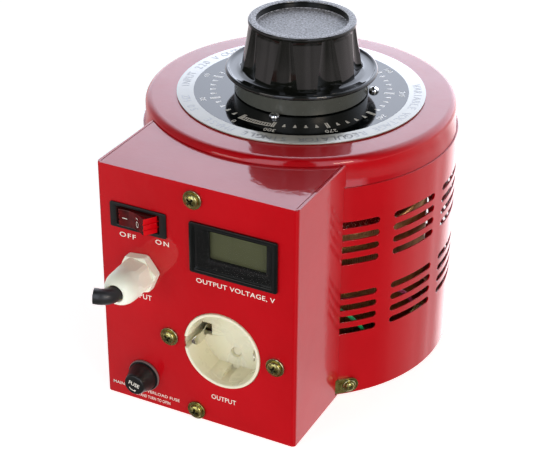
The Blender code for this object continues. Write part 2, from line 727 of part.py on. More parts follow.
def make_ear(side):
    """Zinc ear that hooks from inside the box round the drum, held by one screw."""
    inner = DRUM_R + GAP
    thick = 1.0 * MM
    outer = inner + thick
    tip = 48.2
    wall = BOX_HALF - BOX_SHEET - GAP
    bend_out = math.degrees(math.asin(wall / outer))
    bend_in = math.degrees(math.asin((wall - thick) / inner))
    end = -82.0 * MM
    around = [tuple(drum_point(outer, tip + (bend_out - tip) * i / 4)[:2]) for i in range(5)]
    around += [(wall, end), (wall - thick, end)]
    around += [tuple(drum_point(inner, bend_in + (tip - bend_in) * i / 4)[:2]) for i in range(5)]
    outline = [(side * x, y) for x, y in around]
    low = SHELL_LOW + BOX_SHEET + GAP
    name = "right" if side > 0 else "left"
    ear = add_piece("ear_" + name, prism(outline, low, low + 8.6 * MM), ZINC)
    centre = low + 4.3 * MM
    spot = drum_point(outer + GAP, 44.7 * side, centre)
    facing = (math.radians(90), 0, math.radians(44.7 * side))
    hole = rod(1.8 * MM, -6 * MM, 6 * MM, 8)
    cut(ear, hole, location=spot, rotation=facing)
    pan_head_screw("ear_screw_" + name, ZINC, (2.6 * MM, 1.5 * MM), (3.6 * MM, 0.6 * MM),
                   (1.5 * MM, 5.0 * MM), location=spot, rotation=facing)
    return spot, facing


def make_switch(panel):
    x, z = SWITCH_AT
    where = {"parent": panel, "location": (x, z, 0)}
    bezel = prism(rounded_rectangle(16.0 * MM, 7.0 * MM, 1.2 * MM), GAP, SWITCH_BEZEL)
    body = add_piece("switch_body", bezel, BLACK, **where)
    join(body, block(centred(12.6 * MM), centred(5.7 * MM), (-18.0 * MM, MM)), **where)
    for blade in (-7.0 * MM, 7.0 * MM):
        tab = block((blade - 0.4 * MM, blade + 0.4 * MM), centred(2.4 * MM), (-26.0 * MM, -17.0 * MM))
        join(body, tab, **where)
    cut(body, block(centred(11.8 * MM), centred(4.9 * MM), (-12.0 * MM, 5.0 * MM)), **where)
    make_rocker(panel)


def make_rocker(panel):
    """Rocker, drawn level and then tilted about its upright pivot so that its right half stands proud."""
    x, z = SWITCH_AT
    crest = (8.47 * MM, 7.79 * MM)
    half = [crest, (11.2 * MM, 1.0 * MM), (11.0 * MM, -3.0 * MM), (4.0 * MM, -4.5 * MM)]
    outline = half + [(-a, b) for a, b in reversed(half)] + [(0.0, 5.8 * MM)]
    bm = prism(outline, *centred(4.6 * MM))
    bm.transform(Matrix.Rotation(math.radians(90), 4, "X"))
    add_piece("switch_rocker", bm, ROCKER_RED, parent=panel, location=(x, z, ROCKER_PIVOT),
              rotation=(0, math.radians(-ROCKER_TILT), 0))


def make_meter(panel):
    x, z = METER_AT
    where = {"parent": panel, "location": (x, z, 0)}
    view_x, view_y = METER_VIEW

    def behind_view(half_x, half_y, depths):
        return block((view_x - half_x, view_x + half_x), (view_y - half_y, view_y + half_y), depths)

    bezel = prism(rounded_rectangle(24.0 * MM, 14.0 * MM, 1.0 * MM), GAP, METER_BEZEL)
    body = add_piece("meter_housing", bezel, BLACK, **where)
    join(body, block(centred(22.5 * MM), centred(13.0 * MM), (-16.0 * MM, MM)), **where)
    cut(body, block(centred(20.8 * MM), centred(11.3 * MM), (-20.0 * MM, -2.2 * MM)), **where)
    cut(body, block(centred(20.0 * MM), centred(10.8 * MM), (0.0, 6.0 * MM)), **where)
    cut(body, behind_view(15.6 * MM, 7.7 * MM, (-5.0 * MM, 5.0 * MM)), **where)
    lens = prism(rounded_rectangle(19.6 * MM, 10.4 * MM, 0.5 * MM, 1), GAP, 1.1 * MM)
    add_piece("meter_window", lens, CLEAR, **where)
    add_piece("meter_lcd", behind_view(16.4 * MM, 8.2 * MM, (-5.0 * MM, -2.5 * MM)), LCD, **where)


def make_socket(panel):
    """Earthed socket: a round recess, two pin holes, keyed walls and a slot at each side for a clip."""
    x, z = SOCKET_AT
    where = {"parent": panel, "location": (x, z, 0)}
    floor = -15.0 * MM
    recess = 19.6 * MM
    rim = 21.3 * MM
    profile = [(0.0, floor), (recess - 0.3 * MM, floor), (recess, 0.6 * MM), (rim - 1.2 * MM, SOCKET_RIM),
               (rim - 0.3 * MM, SOCKET_RIM), (rim, 0.6 * MM), (rim, -1.5 * MM), (24.0 * MM, -1.5 * MM),
               (24.0 * MM, -24.0 * MM), (22.2 * MM, -24.0 * MM), (22.2 * MM, -18.0 * MM), (0.0, -18.0 * MM)]
    body = add_piece("socket_body", turned(profile, 32), IVORY, **where)
    for side in (-1, 1):

        def span(near, far):
            return tuple(sorted((side * near, side * far)))

        join(body, block(span(23.0 * MM, 35.0 * MM), centred(6.0 * MM), (-3.5 * MM, -1.5 * MM)), **where)
        cut(body, rod(2.3 * MM, -8.0 * MM, 3.0 * MM, 8), parent=panel,
            location=(x + side * SOCKET_SCREW_REACH, z, 0))
        slot_front = 3.0 * MM if side < 0 else -1.0 * MM
        clip_slot = centred(CLIP_SLOT_HALF)
        cut(body, block(span(17.5 * MM, 21.8 * MM), clip_slot, (-20.0 * MM, slot_front)), **where)
        cut(body, block(span(13.9 * MM, 18.0 * MM), clip_slot, (-20.0 * MM, -13.0 * MM)), **where)
        for key in (-1, 1):
            key_x = (key * 6.1 - 3.9) * MM, (key * 6.1 + 3.9) * MM
            join(body, block(key_x, span(17.2 * MM, 20.2 * MM), (floor - MM, -4.0 * MM)), **where)
        pin = (x, z + side * PIN_PITCH, 0)
        cut(body, rod(2.7 * MM, -22.0 * MM, 0.0, 10), parent=panel, location=pin)
        contact = add_piece("socket_contact_" + ("upper" if side > 0 else "lower"),
                            rod(3.6 * MM, -23.5 * MM, -18.3 * MM, 10), BRASS, parent=panel, location=pin)
        cut(contact, rod(2.3 * MM, -30.0 * MM, 0.0, 10), parent=panel, location=pin)
    make_earth_strap(where)


def make_earth_strap(where):
    """One bent strip behind the socket's floor, with a sprung clip at each end inside the recess."""
    half = [(17.8 * MM, -1.1 * MM), (16.1 * MM, -3.6 * MM), (15.9 * MM, -7.0 * MM), (16.6 * MM, -12.0 * MM),
            (16.6 * MM, -19.2 * MM)]
    path = half + [(-a, b) for a, b in reversed(half)]
    strap = prism(folded_strip(path, 0.7 * MM), *centred(2.6 * MM))
    strap.transform(Matrix.Rotation(math.radians(90), 4, "X"))
    add_piece("socket_earth_strap", strap, SILVER, **where)


def make_fuse(panel):
    x, z = FUSE_AT
    where = {"parent": panel, "location": (x, z, 0)}
    holder = [(0.0, -23.0 * MM), (4.6 * MM, -23.0 * MM), (4.6 * MM, 1.5 * MM), (8.9 * MM, 1.5 * MM),
              (8.9 * MM, GAP), (6.0 * MM, GAP), (6.0 * MM, -26.0 * MM), (0.0, -26.0 * MM)]
    add_piece("fuse_holder", turned(holder, 20), BLACK, **where)
    nut = add_piece("fuse_nut", prism(hexagon(16.0 * MM), -4.5 * MM, -1.5 * MM), NYLON, **where)
    cut(nut, rod(6.3 * MM, -6.0 * MM, 0.0, 20), **where)
    cap = [(0.0, 11.0 * MM), (4.8 * MM, 11.0 * MM), (5.4 * MM, 10.3 * MM), (5.8 * MM, 7.6 * MM),
           (7.8 * MM, 3.6 * MM), (7.8 * MM, 1.8 * MM), (4.2 * MM, 1.8 * MM), (4.2 * MM, -5.0 * MM),
           (3.0 * MM, -5.0 * MM), (3.0 * MM, -0.5 * MM), (0.0, -0.5 * MM)]
    add_piece("fuse_cap", turned(cap, 20), BLACK, **where)
    add_piece("fuse_cartridge", rod(2.6 * MM, -22.0 * MM, -1.0 * MM, 12), GLASS, **where)


def make_gland(panel):
    x, z = GLAND_AT
    where = {"parent": panel, "location": (x, z, 0)}
    body = add_piece("gland_body", prism(hexagon(19.0 * MM, 7.0), GAP, 5.0 * MM), NYLON, **where)
    join(body, rod(7.6 * MM, -9.0 * MM, MM, 16), **where)
    join(body, rod(7.2 * MM, 4.0 * MM, 13.0 * MM, 16), **where)
    cut(body, rod(5.0 * MM, -12.0 * MM, 20.0 * MM, 16), **where)
    locknut = add_piece("gland_locknut", prism(hexagon(22.0 * MM), -5.5 * MM, -1.5 * MM), NYLON, **where)
    cut(locknut, rod(7.9 * MM, -9.0 * MM, 0.0, 16), **where)
    nut = [(7.6 * MM, 5.3 * MM), (9.6 * MM, 5.3 * MM), (9.6 * MM, 15.0 * MM), (8.9 * MM, 20.5 * MM),
           (7.6 * MM, 24.0 * MM), (6.2 * MM, 25.4 * MM), (4.6 * MM, 25.4 * MM), (4.6 * MM, 22.5 * MM),
           (7.6 * MM, 19.0 * MM)]
    add_piece("gland_nut", turned(nut, 20), NYLON, **where)
    seal = [(4.4 * MM, 18.6 * MM), (7.2 * MM, 18.6 * MM), (7.2 * MM, 13.4 * MM), (4.4 * MM, 13.4 * MM)]
    add_piece("gland_seal", turned(seal, 16), RUBBER, **where)


def make_mains_cable(panel):
    """Mains cable through the gland, turning left outside it and ending in a square cut."""
    x, z = GLAND_AT
    run = 6.6 * MM
    aim = Vector((-0.86, -0.12, 0.45)).normalized()
    corner = Vector((x, z, 29.4 * MM))
    points = [Vector((x, z, -12.0 * MM)), Vector((x, z, 8.0 * MM)), Vector((x, z, 22.0 * MM)),
              corner + Vector((-1.0 * MM, -0.2 * MM, -1.9 * MM)), corner + aim * 0.45 * run,
              corner + aim * run]
    wire("mains_cable", points, 4.05 * MM, RUBBER, parent=panel)


def make_wires():
    """Leads from the cable's end into the drum, through the window behind the box, and across the box."""
    x, z = GLAND_AT
    start = BOX_FRONT + 14.0 * MM

    def sweep(radius, stops):
        return [tuple(drum_point(radius * MM, angle, height * MM)) for angle, height in stops]

    def doorway(height):
        return [tuple(drum_point(90.0 * MM, WINDOW_ANGLE - 2.0, height * MM))]

    earth = [(x + 2.0 * MM, start, z), (x + 3.5 * MM, start + 8 * MM, z - 4 * MM)] + doorway(72)
    earth += sweep(79.5, [(-11, 71), (10, 68), (28, 60), (42, 50), (52, 34), (58, 14)])
    wire("earth_wire", earth, 1.2 * MM, GREEN)
    neutral = [(x + 0.4 * MM, start, z - 3.2 * MM), (x + MM, start + 8 * MM, z - 9 * MM)] + doorway(66.5)
    neutral += sweep(74.5, [(-11, 66), (10, 63), (30, 55), (52, 52), (72, 48), (84, 30)])
    wire("neutral_wire", neutral, 1.1 * MM, CRIMSON)
    sx, sz = SWITCH_AT
    live = [(x - 2.6 * MM, start, z + 2 * MM), (x - 6 * MM, start + 5 * MM, z + 9 * MM),
            (sx - 5 * MM, start + 17 * MM, sz - 7 * MM), (sx - 7 * MM, BOX_FRONT + 28 * MM, sz)]
    wire("live_wire", live, 1.1 * MM, BROWN)
    fx, fz = FUSE_AT
    output = sweep(77.0, [(-13, 75.5)]) + doorway(76.5)
    output += [(-36 * MM, -91 * MM, 62 * MM), (fx - MM, -84 * MM, 38 * MM), (fx, BOX_FRONT + 28 * MM, fz)]
    wire("output_wire", output, 1.1 * MM, BLUE)


def build():
    clear_scene()
    panel = add_empty("panel_face", (0.0, BOX_FRONT, 0.0), (math.radians(90), 0.0, 0.0))
    rotor = add_empty("rotor_axis", (0.0, 0.0, 0.0), (0.0, 0.0, math.radians(REST_ANGLE)))
    shell = make_drum_shell()
    make_lid()
    make_dial()
    make_base_plate()
    make_lower_clamp()
    make_core()
    make_winding()
    make_upper_clamp()
    make_bush("lower_bush", 10.0 * MM, CLAMP_LOW + CLAMP_T)
    make_bush("upper_bush", 80.0 * MM, WINDING_TOP + GAP + CLAMP_T)
    make_collector_leaf()
    make_shaft(rotor)
    make_brush_arm(rotor)
    make_knob(rotor)
    make_front_box(panel)
    make_box_bracket()
    for side in (-1, 1):
        spot, facing = make_ear(side)
        cut(shell, rod(1.8 * MM, -6 * MM, 6 * MM, 8), location=spot, rotation=facing)
    make_panel_screws(panel)
    make_switch(panel)
    make_meter(panel)
    make_socket(panel)
    make_fuse(panel)
    make_gland(panel)
    make_mains_cable(panel)
    make_wires()


build()
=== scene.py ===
"""Looks of the bench variac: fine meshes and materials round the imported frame, with studio and camera."""
from math import atan2, copysign, cos, degrees, pi, radians, sin, sqrt, tau

import bmesh
import bpy
from mathutils import Matrix, Vector


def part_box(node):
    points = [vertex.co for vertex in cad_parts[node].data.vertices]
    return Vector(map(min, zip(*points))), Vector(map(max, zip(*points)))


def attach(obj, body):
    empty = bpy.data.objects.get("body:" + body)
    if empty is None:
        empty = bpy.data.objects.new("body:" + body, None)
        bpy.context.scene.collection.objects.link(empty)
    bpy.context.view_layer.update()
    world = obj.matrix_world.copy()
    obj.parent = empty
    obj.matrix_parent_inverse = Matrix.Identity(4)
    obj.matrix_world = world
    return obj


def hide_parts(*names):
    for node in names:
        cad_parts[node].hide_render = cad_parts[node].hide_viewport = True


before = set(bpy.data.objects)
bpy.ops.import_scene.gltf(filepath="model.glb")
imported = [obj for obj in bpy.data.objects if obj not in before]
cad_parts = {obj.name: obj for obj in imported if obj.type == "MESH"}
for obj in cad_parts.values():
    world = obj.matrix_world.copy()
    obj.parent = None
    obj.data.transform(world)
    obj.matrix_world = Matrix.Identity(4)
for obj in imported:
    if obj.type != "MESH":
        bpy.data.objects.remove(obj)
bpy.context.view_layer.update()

MM = 0.001

# Driving sizes that the frame's boxes don't give. Shapes are in millimetres until they become pieces,
# and angles are in degrees.
DRUM_R = 84.05
SHEET = 0.8
SLOT_STEP = 27.2
SLOT_ARC = 21.3
SLOT_HEIGHT = 3.6
SLOT_PITCH = 7.05
SLOT_ROWS = 4
SLOT_COLUMNS = 11
SLOT_GROUPS = (39.9, 81.3)
CELL_MARGIN = 1.2
WINDOW = (-22.2, -11.1)
DIAL_ZERO = -13.75
DEGREES_PER_VOLT = 1.125
REST_ANGLE = DIAL_ZERO - 120 * DEGREES_PER_VOLT
INK = 0.04
TINY = 0.0001
ROCKER_TILT = 13
ROCKER_PIVOT = -3.2


# ---- places in the frame

def shift(x=0, y=0, z=0):
    return Matrix.Translation((x, y, z))


def turn(angle, axis="Z"):
    return Matrix.Rotation(radians(angle), 4, axis)


def box(node):
    """Lowest and highest corner of a CAD node at rest."""
    low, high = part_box(node)
    return low / MM, high / MM


def middle(node):
    low, high = box(node)
    return (low + high) / 2


FRONT = box("front_box")[0].y
PANEL = shift(0, FRONT) @ turn(90, "X")
ROTOR = turn(REST_ANGLE)


def on_panel(node, out=0):
    """Panel frame at a node's middle: local X right, Y up, Z out of the panel."""
    spot = middle(node)
    return PANEL @ shift(spot.x, spot.z, out)


def polar(radius, angle, height=0):
    """Point at an angle in degrees from -Y towards +X."""
    a = radians(angle)
    return Vector((radius * sin(a), -radius * cos(a), height))


# ---- mesh helpers

def new_object(name, bm):
    bmesh.ops.recalc_face_normals(bm, faces=bm.faces)
    mesh = bpy.data.meshes.new(name)
    bm.to_mesh(mesh)
    bm.free()
    obj = bpy.data.objects.new(name, mesh)
    bpy.context.scene.collection.objects.link(obj)
    return obj


def piece(name, bm, materials, stands_for=None, matrix=None, body="root", sharp=32, pick=None):
    """Make a piece that rides on a body and may stand for a CAD node. pick gives a face's material number."""
    materials = materials if isinstance(materials, list) else [materials]
    if matrix is not None:
        bm.transform(matrix)
    if pick is not None:
        bm.normal_update()
        for face in bm.faces:
            face.material_index = pick(face)
    bm.transform(Matrix.Scale(MM, 4))
    obj = new_object(name, bm)
    for material in materials:
        obj.data.materials.append(material)
    obj.data.shade_smooth()
    obj.data.set_sharp_from_angle(angle=radians(sharp))
    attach(obj, body)
    if stands_for:
        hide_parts(stands_for)
    return obj


def add_bevel(obj, width, segments, angle):
    bevel = obj.modifiers.new("Bevel", "BEVEL")
    bevel.width = width * MM
    bevel.segments = segments
    bevel.limit_method = "ANGLE"
    bevel.angle_limit = radians(angle)
    return bevel


def thicken(obj, thickness, offset=-1):
    wall = obj.modifiers.new("Wall", "SOLIDIFY")
    wall.thickness = thickness * MM
    wall.offset = offset


def smooth_out(obj, levels):
    smooth = obj.modifiers.new("Smooth", "SUBSURF")
    smooth.levels = smooth.render_levels = levels


def soft_edges(obj, width, segments, angle, weighted=True):
    """Round a piece's sharp edges and keep its flat faces flat."""
    for edge in obj.data.edges:
        edge.use_edge_sharp = False
    add_bevel(obj, width, segments, angle).harden_normals = not weighted
    if weighted:
        obj.modifiers.new("Normals", "WEIGHTED_NORMAL").weight = 80


def boolean(bm, *steps):
    """Apply (operation, tool) pairs to a body and return the result."""
    objects = [new_object("body", bm)]
    for operation, tool in steps:
        objects.append(new_object("tool", tool))
        modifier = objects[0].modifiers.new(operation, "BOOLEAN")
        modifier.operation = operation
        modifier.object = objects[-1]
    bpy.context.view_layer.update()
    result = bmesh.new()
    result.from_object(objects[0], bpy.context.evaluated_depsgraph_get())
    for obj in objects:
        bpy.data.objects.remove(obj)
    return result


def merge(parts):
    """One mesh out of (mesh, matrix) pairs."""
    whole = bmesh.new()
    for bm, matrix in parts:
        bm.transform(matrix)
        mesh = bpy.data.meshes.new("part")
        bm.to_mesh(mesh)
        bm.free()
        whole.from_mesh(mesh)
        bpy.data.meshes.remove(mesh)
    return whole


def soften(points, radius, steps):
    """Round the inner corners of an open profile."""
    out = [points[0]]
    for before, corner, after in zip(points, points[1:], points[2:]):
        corner = Vector(corner)
        start, end = (corner + way.normalized() * min(radius, 0.48 * way.length)
                      for way in (Vector(before) - corner, Vector(after) - corner))
        for i in range(steps + 1):
            t = i / steps
            out.append(tuple(start * (1 - t) ** 2 + corner * 2 * t * (1 - t) + end * t * t))
    return out + [points[-1]]


def turned(profile, sides):
    """Turn a profile of (radius, height) points round Z. A radius of zero is a point on the axis."""
    rings = []
    for radius, height in profile:
        if radius < TINY:
            rings.append([(0, 0, height)])
        else:
            rings.append([polar(radius, 360 * i / sides, height) for i in range(sides)])
    return loft(rings, closed=profile[0][0] >= TINY)


def loft(rings, closed=False):
    """Surface through rings of points. closed joins the last ring to the first."""
    bm = bmesh.new()
    made = [vertices(bm, ring) for ring in rings]
    join_rings(bm, made + made[:1] if closed else made)
    return bm


def join_rings(bm, rings):
    for low, high in zip(rings, rings[1:]):
        count = max(len(low), len(high))
        for i in range(count):
            j = (i + 1) % count
            corners = (low[i % len(low)], low[j % len(low)], high[j % len(high)], high[i % len(high)])
            bm.faces.new(list(dict.fromkeys(corners)))


def stacked(rings):
    """Closed body through outlines of equal length, given as (outline, height) pairs."""
    bm = loft([[(x, y, z) for x, y in outline] for outline, z in rings])
    bm.verts.ensure_lookup_table()
    count = len(rings[0][0])
    bm.faces.new(bm.verts[:count])
    bm.faces.new(bm.verts[-count:])
    return bm


def vertices(bm, points):
    return [bm.verts.new(point) for point in points]


def strip(rows):
    """Open surface through rows of points."""
    bm = bmesh.new()
    made = [vertices(bm, row) for row in rows]
    for a, b in zip(made, made[1:]):
        for k in range(len(a) - 1):
            bm.faces.new((a[k], a[k + 1], b[k + 1], b[k]))
    return bm


def prism(outline, low, high):
    return stacked([(outline, low), (outline, high)])


def block(x, y, z):
    return prism([(x[0], y[0]), (x[1], y[0]), (x[1], y[1]), (x[0], y[1])], *z)


def centred(half):
    return (-half, half)


def disc(radius, sides=32, turned_by=0):
    return around([(radius, turned_by + 360 * i / sides) for i in range(sides)])


def around(points):
    """Outline through (radius, angle) pairs."""
    return [tuple(polar(radius, angle)[:2]) for radius, angle in points]


def arc(x, y, radius, start, end, steps, squash=1):
    """Points on an arc round (x, y) between two angles in degrees from the first axis."""
    angles = [radians(start + (end - start) * i / steps) for i in range(steps + 1)]
    return [(x + radius * cos(a), y + squash * radius * sin(a)) for a in angles]


def plate(half_x, half_y, radius, steps=4):
    """Rounded rectangle."""
    outline = []
    for sx, sy, start in ((1, 1, 0), (-1, 1, 90), (-1, -1, 180), (1, -1, 270)):
        outline += arc(sx * (half_x - radius), sy * (half_y - radius), radius, start, start + 90, steps)
    return outline


def hexagon(across_flats, turned_by):
    return disc(across_flats / sqrt(3), 6, turned_by)


def tube(points, radius, resolution, sides):
    """Round bar along a smooth curve."""
    curve = bpy.data.curves.new("tube", "CURVE")
    curve.dimensions = "3D"
    curve.resolution_u = resolution
    curve.bevel_depth = radius
    curve.bevel_resolution = sides
    curve.use_fill_caps = True
    spline = curve.splines.new("BEZIER")
    spline.bezier_points.add(len(points) - 1)
    for knot, point in zip(spline.bezier_points, points):
        knot.co = point
        knot.handle_left_type = knot.handle_right_type = "AUTO"
    return from_curve(curve)


def from_curve(curve):
    obj = bpy.data.objects.new("curve", curve)
    bpy.context.scene.collection.objects.link(obj)
    bpy.context.view_layer.update()
    bm = bmesh.new()
    bm.from_mesh(obj.evaluated_get(bpy.context.evaluated_depsgraph_get()).to_mesh())
    bmesh.ops.remove_doubles(bm, verts=bm.verts, dist=TINY)
    bpy.data.objects.remove(obj)
    return bm


def lettering(text, size, spacing=1, width=1, bold=0):
    """Thin raised letters, centred on the origin in XY."""
    curve = bpy.data.curves.new("text", "FONT")
    curve.body = text
    curve.size = size
    curve.space_character = spacing
    curve.align_x = "CENTER"
    curve.align_y = "CENTER"
    curve.extrude = INK / 2
    curve.offset = size * bold
    curve.resolution_u = 3
    bm = from_curve(curve)
    bm.transform(Matrix.Diagonal((width, 1, 1, 1)) @ shift(z=INK / 2))
    return bm


# ---- material helpers

def node(tree, kind, settings=None, **inputs):
    """Add a shader node. Inputs are values or the output sockets of other nodes."""
    made = tree.nodes.new("ShaderNode" + kind)
    for name, value in (settings or {}).items():
        setattr(made, name, value)
    for name, value in inputs.items():
        socket = made.inputs[int(name[1:])] if name[0] == "_" else made.inputs[name.replace("_", " ")]
        if isinstance(value, bpy.types.NodeSocket):
            tree.links.new(value, socket)
        else:
            socket.default_value = value
    return made


def ramp(tree, source, stops):
    made = node(tree, "ValToRGB", Fac=source)
    while len(made.color_ramp.elements) < len(stops):
        made.color_ramp.elements.new(0.5)
    for element, (position, colour) in zip(made.color_ramp.elements, stops):
        element.position = position
        element.color = (*colour, 1)
    return made.outputs["Color"]


def spots(tree, scale, detail=2, stretch=(1, 1, 1)):
    """Noise in the object's own coordinates. scale is per metre."""
    where = node(tree, "TexCoord").outputs["Object"]
    scaled = node(tree, "Mapping", Vector=where, Scale=stretch)
    noise = node(tree, "TexNoise", Vector=scaled.outputs["Vector"], Scale=scale, Detail=detail)
    return noise.outputs["Fac"]


def step_up(tree, value, low, high, out_low=0, out_high=1):
    made = node(tree, "MapRange", {"interpolation_type": "SMOOTHSTEP"}, Value=value, From_Min=low,
                From_Max=high, To_Min=out_low, To_Max=out_high)
    return made.outputs["Result"]


def calculate(tree, operation, a, b=0):
    return node(tree, "Math", {"operation": operation}, _0=a, _1=b).outputs["Value"]


def surface(name, colours, rough, metal=0, grain=60, bumps=(), edge_glint=None, **more):
    """Material whose colour and roughness drift with noise, with bumps of (scale, depth in mm, stretch)."""
    made = bpy.data.materials.new(name)
    made.use_nodes = True
    tree = made.node_tree
    shader = tree.nodes["Principled BSDF"]
    dark, light = colours
    colour = ramp(tree, spots(tree, grain, 4), [(0.3, dark), (0.7, light)])
    # Painted highlight: pale patches on sharp edges, found from Pointiness, stand for glints on rims.
    if edge_glint:
        glint_edges = node(tree, "MapRange", Value=node(tree, "NewGeometry").outputs["Pointiness"],
                    From_Min=0.52, From_Max=0.62)
        patchy = calculate(tree, "MULTIPLY", glint_edges.outputs["Result"], spots(tree, 900))
        mixed = node(tree, "Mix", {"data_type": "RGBA"}, _0=patchy)
        tree.links.new(colour, mixed.inputs[6])
        mixed.inputs[7].default_value = (*edge_glint, 1)
        colour = mixed.outputs[2]
    tree.links.new(colour, shader.inputs["Base Color"])
    low, high = rough
    roughness = node(tree, "MapRange", Value=spots(tree, grain * 3, 3), To_Min=low, To_Max=high)
    tree.links.new(roughness.outputs["Result"], shader.inputs["Roughness"])
    shader.inputs["Metallic"].default_value = metal
    for key, value in more.items():
        shader.inputs[key.replace("_", " ")].default_value = value
    below = {}
    for scale, depth, *stretch in bumps:
        height = spots(tree, scale, 2, *stretch)
        bump = node(tree, "Bump", Strength=1, Distance=depth * MM, Height=height, **below)
        below = {"Normal": bump.outputs["Normal"]}
    for normal in below.values():
        tree.links.new(normal, shader.inputs["Normal"])
        tree.links.new(normal, shader.inputs["Coat Normal"])
    return made


# ---- materials

ENAMEL = surface("red_enamel", ((0.43, 0.0005, 0.004), (0.49, 0.001, 0.006)), (0.38, 0.5), grain=25,
                 bumps=((420, 0.03), (70, 0.06), (1100, 0.006)), Specular_IOR_Level=0.2,
                 Specular_Tint=(1, 0.02, 0.06, 1), Coat_Weight=0.88, Coat_Roughness=0.03, Coat_IOR=1.5)
ALUMINIUM = surface("dial_aluminium", ((0.32, 0.315, 0.27), (0.37, 0.365, 0.32)), (0.2, 0.3), 0.2,
                    bumps=[(900, 0.008)], Coat_Weight=0.9, Coat_Roughness=0.08)
DIAL_BLACK = surface("dial_black", ((0.001, 0.002, 0.002), (0.002, 0.003, 0.003)), (0.05, 0.09),
                     bumps=[(300, 0.004)])
WHITE_INK = surface("white_ink", ((0.8, 0.78, 0.7), (0.9, 0.88, 0.82)), (0.4, 0.55), bumps=[(1200, 0.004)],
                    Coat_Weight=1, Coat_Roughness=0.06)
GREY_INK = surface("grey_ink", ((0.1, 0.105, 0.11), (0.16, 0.165, 0.17)), (0.4, 0.55), grain=300,
                   bumps=[(1200, 0.004)], Coat_Weight=1, Coat_Roughness=0.06)
BAKELITE = surface("knob_bakelite", ((0.005, 0.006, 0.005), (0.01, 0.011, 0.009)), (0.04, 0.08),
                   bumps=[(90, 0.03)])
# Painted reflection: grey standing for the floor and dial mirrored in the black knob's glossy skirt.
KNOB_SKIRT_SHEEN = surface("knob_skirt_painted_reflection", ((0.083, 0.088, 0.078), (0.092, 0.097, 0.087)), (0.22, 0.3), grain=400,
                     bumps=[(900, 0.01)])
KNOB_TOP = surface("knob_top", ((0, 0, 0.002), (0.66, 0.68, 0.76)), (0.3, 0.5), grain=1000,
                   bumps=[(1000, 0.14)], Specular_IOR_Level=0.45)
CHROME = surface("bright_steel", ((0.66, 0.65, 0.62), (0.78, 0.77, 0.74)), (0.1, 0.2), 1,
                 bumps=[(500, 0.01)])
# Pale patches on the zinc's sharp edges are a painted highlight for the washers' bright rims.
YELLOW_ZINC = surface("zinc", ((0.22, 0.17, 0.03), (0.46, 0.44, 0.15)), (0.15, 0.3), 0.9, 420,
                      bumps=[(900, 0.06)], edge_glint=(0.85, 0.85, 0.75))
# Painted shade: dark colour laid on the faces inside the screws' cross recesses.
RECESS_SHADE = surface("recess_painted_shade", ((0.02, 0.018, 0.006), (0.07, 0.065, 0.02)), (0.3, 0.5), 0.6, 700,
                      bumps=[(1200, 0.04)])
BLACK_ABS = surface("black_plastic", ((0.008, 0.009, 0.009), (0.014, 0.015, 0.015)), (0.25, 0.38),
                    bumps=[(2500, 0.012)], Specular_IOR_Level=0.4)
GLOSS_ABS = surface("meter_plastic", ((0.004, 0.005, 0.005), (0.008, 0.009, 0.009)), (0.1, 0.2),
                    bumps=[(1500, 0.004)], Specular_IOR_Level=0.35)
RED_PC = surface("rocker_red", ((0.55, 0, 0.004), (0.75, 0.002, 0.008)), (0.12, 0.2), bumps=[(600, 0.006)],
                 Specular_IOR_Level=0.4)
# Painted shade: a dark copy of the rocker's red for the faces that lie in shade.
SHADED_RED_PC = surface("rocker_red_painted_shade", ((0.035, 0.004, 0.004), (0.12, 0.006, 0.007)), (0.1, 0.2), grain=180,
                      bumps=[(600, 0.006)])
LCD = surface("lcd_glass", ((0.08, 0.09, 0.04), (0.1, 0.11, 0.052)), (0.2, 0.3), grain=30,
              bumps=[(900, 0.003)])
IVORY = surface("ivory_plastic", ((0.83, 0.78, 0.59), (0.89, 0.84, 0.67)), (0.22, 0.34), grain=40,
                bumps=[(1300, 0.008)], Subsurface_Weight=0.1)
NICKEL = surface("nickel_strip", ((0.72, 0.69, 0.6), (0.85, 0.82, 0.74)), (0.12, 0.25), 1,
                 bumps=[(400, 0.01, (1, 1, 12))])
# Painted light: a faint emission makes the nylon glow, standing in for light let through it.
GLOWING_NYLON = surface("white_nylon", ((0.88, 0.88, 0.74), (0.94, 0.94, 0.82)), (0.28, 0.4), grain=50,
                bumps=[(1100, 0.01)], Subsurface_Weight=0.15, Emission_Color=(1, 0.97, 0.82, 1),
                Emission_Strength=0.07)
RUBBER = surface("black_rubber", ((0.01, 0.01, 0.011), (0.022, 0.022, 0.024)), (0.3, 0.42), grain=200,
                 bumps=[(900, 0.02)])
COPPER = surface("copper_winding", ((0.3, 0.13, 0.04), (0.52, 0.27, 0.09)), (0.25, 0.4), 0.85, 150,
                 bumps=[(800, 0.02)], Coat_Weight=0.6, Coat_Roughness=0.15)
BARE_COPPER = surface("bare_copper", ((0.7, 0.32, 0.17), (0.85, 0.45, 0.28)), (0.2, 0.35), 1, 300,
                      bumps=[(900, 0.01)])
BRASS = surface("brass", ((0.62, 0.45, 0.18), (0.76, 0.58, 0.28)), (0.2, 0.35), 1, bumps=[(600, 0.01)])
BOARD = surface("phenolic_board", ((0.13, 0.055, 0.025), (0.22, 0.1, 0.05)), (0.4, 0.55), grain=700,
                bumps=[(1800, 0.015)])
CORE_STEEL = surface("core_steel", ((0.25, 0.25, 0.26), (0.4, 0.4, 0.42)), (0.3, 0.45), 1, 900,
                     bumps=[(2500, 0.02)])
CAST = surface("cast_aluminium", ((0.4, 0.4, 0.4), (0.55, 0.55, 0.55)), (0.4, 0.55), 1, 300,
               bumps=[(1000, 0.04)])
CARBON = surface("carbon", ((0.02, 0.02, 0.022), (0.05, 0.05, 0.055)), (0.45, 0.6), 0.2, 900,
                 bumps=[(2500, 0.02)])
GREY_WASHER = surface("grey_washer", ((0.16, 0.11, 0.11), (0.22, 0.16, 0.16)), (0.25, 0.35),
                      bumps=[(1500, 0.01)])
